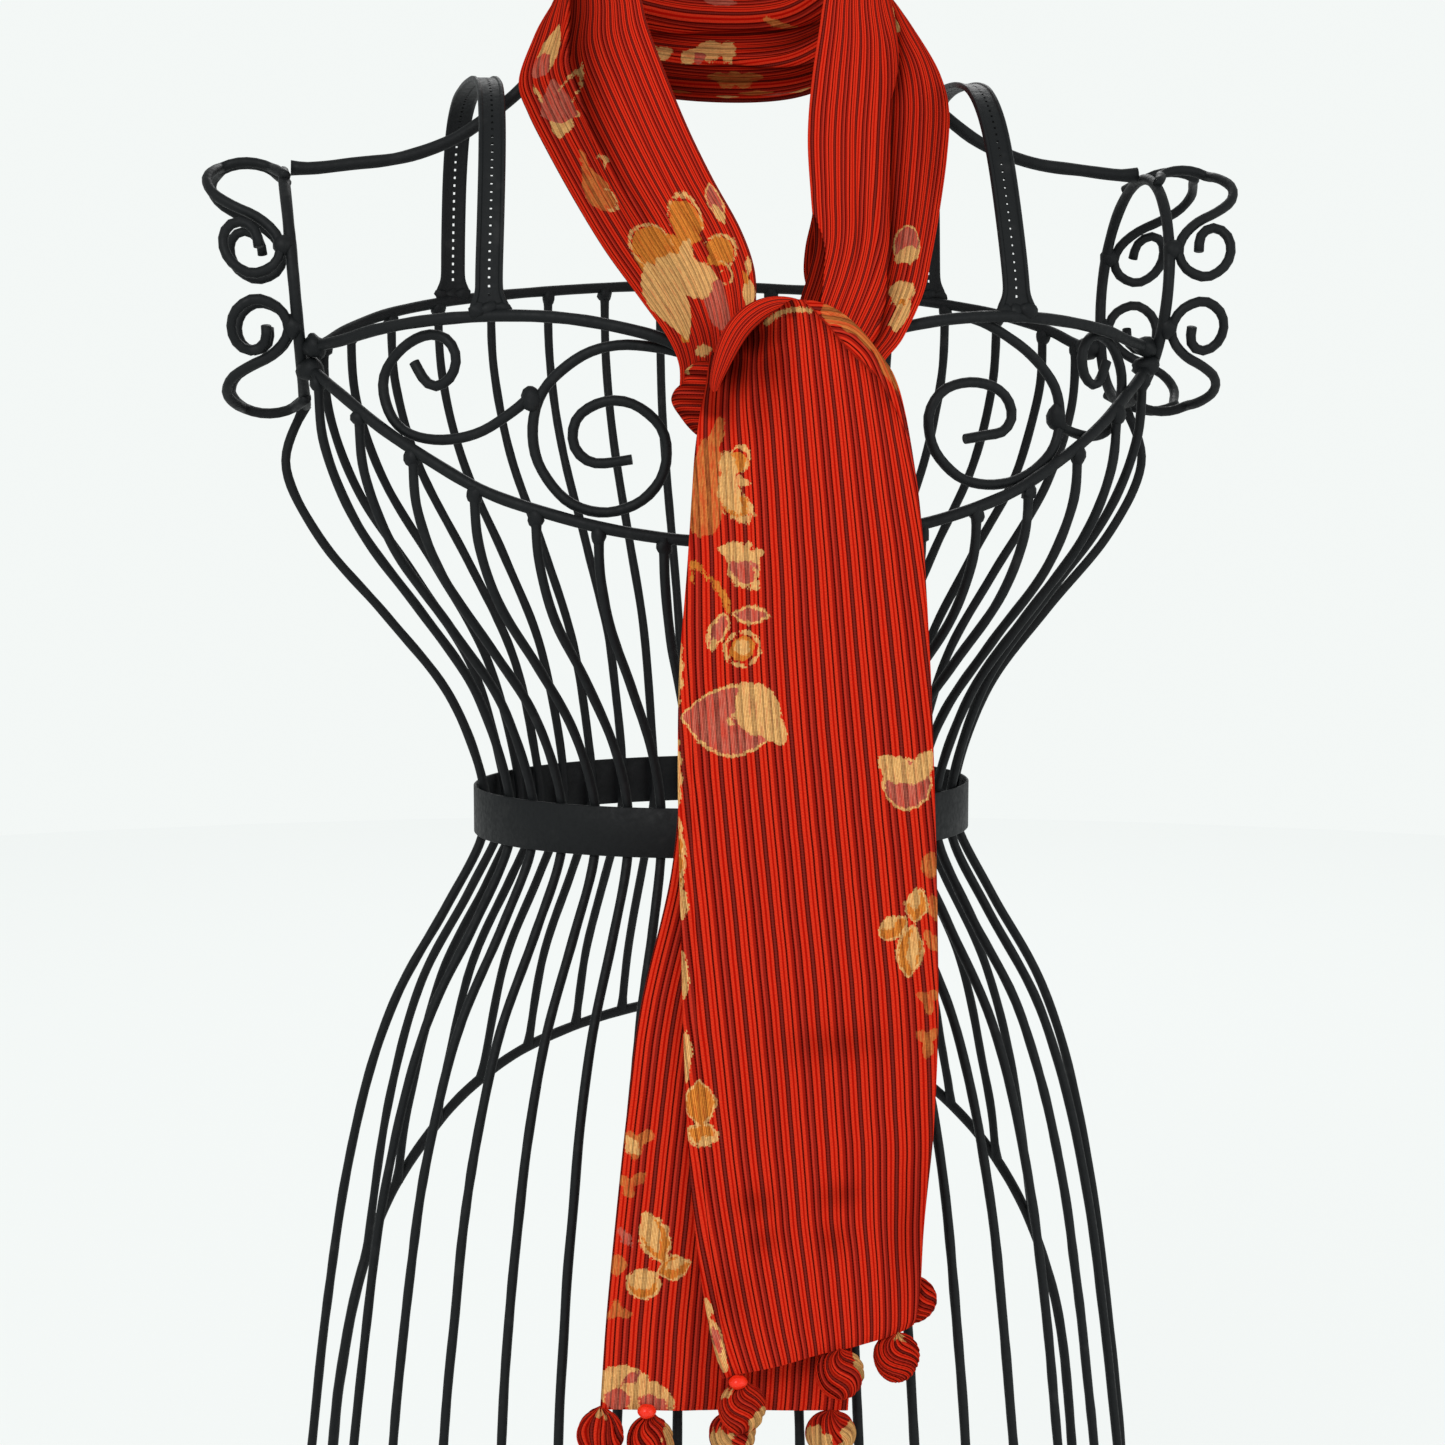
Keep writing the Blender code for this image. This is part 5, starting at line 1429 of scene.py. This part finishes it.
def silk_material(name):
    """Ribbed silk: lengthwise stripes, with woven flowers and shade from the mesh's values."""
    material, tree, shader = new_material(name)
    across, along = attribute(tree, "across"), attribute(tree, "along")
    cloth = pair(tree, across, along)
    slow, fine = noise(tree, cloth, 38.0, 2.0), noise(tree, cloth, 1500.0, 1.0)
    waver = maths(tree, "MULTIPLY_ADD", slow, 0.0006, across)
    repeat = maths(tree, "FRACT", maths(tree, "DIVIDE", waver, STRIPE_REPEAT))
    broken = times(tree, spread(tree, wave(tree, along, DASH_PITCH), 0.1, 0.8), 0.22)
    stripes = mix(tree, broken, ramp(tree, repeat, stripe_stops()), (0.34, 0.014, 0.009, 1))
    stripes = scaled(tree, stripes, spread(tree, fine, 0.3, 0.7, 0.84, 1.12))
    rib = wave(tree, waver, RIB_PITCH)
    # painted shade: the flower silks darken towards the furrow of each rib
    thread_shade = spread(tree, rib, -1.0, 1.0, 0.55, 1.0)
    cells = [maths(tree, "FLOOR", maths(tree, "DIVIDE", place, size))
             for place, size in zip((across, along), STEP_SIZES)]
    dice = add(tree, "TexWhiteNoise", [("Vector", pair(tree, *cells))], noise_dimensions="2D")
    jitter = maths(tree, "MULTIPLY_ADD", dice, 0.9, -0.45)
    red = node_of(tree, "VectorMath", [(0, stripes), (1, (1.0, 0.0, 0.0))], operation="DOT_PRODUCT")
    red = red.outputs["Value"]
    ghost = spread(tree, red, 0.06, 0.42, 0.56, 1.06)
    speck = times(tree, spread(tree, dice, 0.0, 1.0, 0.82, 1.10), ghost)
    streak = noise(tree, pair(tree, across, times(tree, along, STREAK_STRETCH)), 900.0, 1.0)

    def area(key):
        edge = maths(tree, "ADD", attribute(tree, key), jitter)
        return spread(tree, edge, 0.16, -0.16)

    def thread(key):
        low, high = FLOWER_SILKS[key]
        return scaled(tree, ramp(tree, thread_shade, [(0.55, low), (1.0, high)]), speck)

    cream = thread("cream")
    see_through = spread(tree, streak, 0.36, 0.60, 0.40, 0.90)
    solid = spread(tree, streak, 0.30, 0.50, 0.62, 0.97)
    colour = mix(tree, times(tree, area("faint"), see_through), stripes, thread("faded"))
    colour = mix(tree, times(tree, area("cream"), solid), colour, cream)
    pink = mix(tree, times(tree, see_through, 0.9), stripes, thread("pink"))
    colour = mix(tree, area("pink"), colour, pink)
    colour = mix(tree, area("gold"), colour, mix(tree, solid, stripes, thread("gold")))
    colour = mix(tree, times(tree, area("heart"), solid), colour, cream)
    # painted shade: the colour darkens with the mesh's shade value, down to a tenth
    colour = scaled(tree, colour, spread(tree, attribute(tree, "shade"), 0.0, 1.0, 1.0, 0.10))
    tree.links.new(colour, shader.inputs["Base Color"])
    tree.links.new(spread(tree, fine, 0.3, 0.7, 0.54, 0.70), shader.inputs["Roughness"])
    weave = wave(tree, along, WEAVE_PITCH)
    bumped(tree, shader, 0.16, 0.00015, maths(tree, "MULTIPLY_ADD", weave, 0.35, rib))
    shader.inputs["Specular IOR Level"].default_value = 0.0
    return material


def glass_material():
    material, tree, shader = new_material("red_glass")
    cloud = noise(tree, node_of(tree, "TexCoord").outputs["Object"], 300.0, 2.0)
    tint = mix(tree, cloud, (0.70, 0.016, 0.005, 1), (0.86, 0.034, 0.010, 1))
    tree.links.new(tint, shader.inputs["Base Color"])
    tree.links.new(spread(tree, cloud, 0.3, 0.7, 0.24, 0.36), shader.inputs["Roughness"])
    shader.inputs["Specular IOR Level"].default_value = 0.22
    shader.inputs["Subsurface Weight"].default_value = 0.12
    shader.inputs["Subsurface Radius"].default_value = (0.003, 0.0006, 0.0004)
    return material


def paper_material(name, albedo, glow):
    """Plain pale backdrop."""
    material, _, shader = new_material(name)
    shader.inputs["Base Color"].default_value = (albedo, albedo * 1.02, albedo * 1.02, 1.0)
    shader.inputs["Roughness"].default_value = 1.0
    shader.inputs["Specular IOR Level"].default_value = 0.0
    shader.inputs["Emission Color"].default_value = (0.965, 1.0, 0.985, 1.0)
    shader.inputs["Emission Strength"].default_value = glow
    material.cycles.emission_sampling = "NONE"
    return material


# Room, light and camera


FLOOR_ALBEDO = 0.16
FLOOR_GLOW = 0.765
WALL_GLOW = 0.935
WALL_FROM = 3.4
BACKDROP_PROFILE = (
    # distance from the form and height, in metres
    (0.0, 0.0), (2.0, 0.0), (3.6, 0.0), (4.4, 0.10), (5.0, 0.45), (5.4, 1.0), (5.6, 1.8), (5.7, 3.2),
)


def build_backdrop():
    """Floor that rises softly all round into a low wall."""
    rows = flow(BACKDROP_PROFILE, 60)
    count = 72
    turn = circle(count)
    points = np.stack([np.outer(rows[:, 0], np.cos(turn)), np.outer(rows[:, 0], np.sin(turn)),
                       np.outer(rows[:, 1], np.ones(count)) - 0.0005], axis=-1).reshape(-1, 3)
    quads = ring_quads(len(rows), count)
    mesh = bpy.data.meshes.new("backdrop")
    mesh.from_pydata(points.tolist(), [], quads.tolist())
    mesh.shade_smooth()
    mesh.materials.append(paper_material("pale_floor", FLOOR_ALBEDO, FLOOR_GLOW))
    mesh.materials.append(paper_material("pale_wall", 0.0, WALL_GLOW))
    far = np.hypot(points[quads[:, 0], 0], points[quads[:, 0], 1]) > WALL_FROM
    mesh.polygons.foreach_set("material_index", far.astype(np.int32))
    obj = bpy.data.objects.new("backdrop", mesh)
    bpy.context.scene.collection.objects.link(obj)


def lamp(name, place, target, size, power):
    data = bpy.data.lights.new(name, "AREA")
    data.shape = "DISK"
    data.size = size
    data.energy = power
    obj = bpy.data.objects.new(name, data)
    obj.location = place
    obj.rotation_euler = (Vector(target) - Vector(place)).to_track_quat("-Z", "Y").to_euler()
    bpy.context.scene.collection.objects.link(obj)


def build_room():
    build_backdrop()
    world = bpy.data.worlds.new("studio")
    world.use_nodes = True
    world.node_tree.nodes["Background"].inputs["Color"].default_value = (0.90, 0.925, 0.915, 1.0)
    world.node_tree.nodes["Background"].inputs["Strength"].default_value = 0.75
    bpy.context.scene.world = world
    lamp("key", (-1.3, -2.4, 2.2), (0.0, 0.0, 0.65), 1.1, 40.0)
    lamp("fill", (1.9, -2.0, 1.2), (0.0, 0.0, 0.6), 1.6, 14.0)
    lamp("rear", (0.6, 2.6, 2.4), (0.0, 0.0, 0.6), 1.4, 24.0)
    data = bpy.data.cameras.new("photo_view")
    data.sensor_width = 36.0
    data.lens = CAMERA_LENS
    data.clip_start, data.clip_end = 0.05, 60.0
    camera = bpy.data.objects.new("photo_view", data)
    camera.location = CAMERA_PLACE
    camera.rotation_euler = [math.radians(angle) for angle in CAMERA_TURN]
    bpy.context.scene.collection.objects.link(camera)
    bpy.context.scene.camera = camera
    bpy.context.scene.view_settings.view_transform = "Standard"


def build_scarf(cloth):
    skin = tube_skin(strand_place, strand_rows(LEFT_STRAND), -1, left_relief)
    shade = left_shade(skin[2], skin[3])
    left = cloth_piece("silk_left_strand", skin, LEFT_MOTIFS, cloth, ["left_strand"], shade)
    strand = tube_skin(strand_place, strand_rows(RIGHT_STRAND), 1, right_relief)
    tuck = tuck_skin()
    shade = np.concatenate([right_shade(strand[0], strand[2], strand[3]), np.full(len(tuck[0]), TUCK_SHADE)])
    skin = [np.concatenate(both) for both in zip(strand, tuck)]
    skin[1] = np.concatenate([strand[1], tuck[1] + len(strand[0])])
    right = cloth_piece("silk_right_strand", skin, RIGHT_MOTIFS, cloth, ["right_strand"], shade)
    skin = tube_skin(neck_place, table_rows(NECK_BACK, neck_place, 300), -1, neck_relief)
    neck = cloth_piece("silk_neck", skin, NECK_MOTIFS, cloth, ["neck_back"], neck_shade(skin[2], skin[3]))
    skin = wrap_skin()
    # painted shade over the wrap, in soft bands round its turns
    shade = 0.42 + 0.3 * np.sin(skin[0][:, 2] * 1.1 + skin[0][:, 0] * 0.12)
    wrap = cloth_piece("silk_wrap", skin, WRAP_MOTIFS, cloth, ["knot_wrap"], shade)
    rows = table_rows(FRONT_TAIL, tail_place)
    points, quads, across, along = tube_skin(tail_place, rows, -1, front_relief, HEM_FADE)
    front = new_piece("silk_front_tail", [(points * MM, quads)], cloth, ["front_tail"],
                      front_looks(points, across, along))
    roll = cloth_piece("silk_edge_roll", roll_skin(), {}, cloth, [])
    skin = tube_skin(back_tail_place, table_rows(BACK_TAIL, back_tail_place), -1, back_relief, HEM_FADE)
    back = cloth_piece("silk_back_tail", skin, BACK_MOTIFS, cloth, ["back_tail"])


def main():
    iron = iron_material()
    build_form(iron)
    build_uprights(iron)
    silk, wound, glass = silk_material("striped_silk"), silk_material("wound_silk"), glass_material()
    build_scarf(silk)
    build_balls(wound)
    for name, centre, size in BEADS:
        bead(name, centre, size, glass)
    build_room()


main()
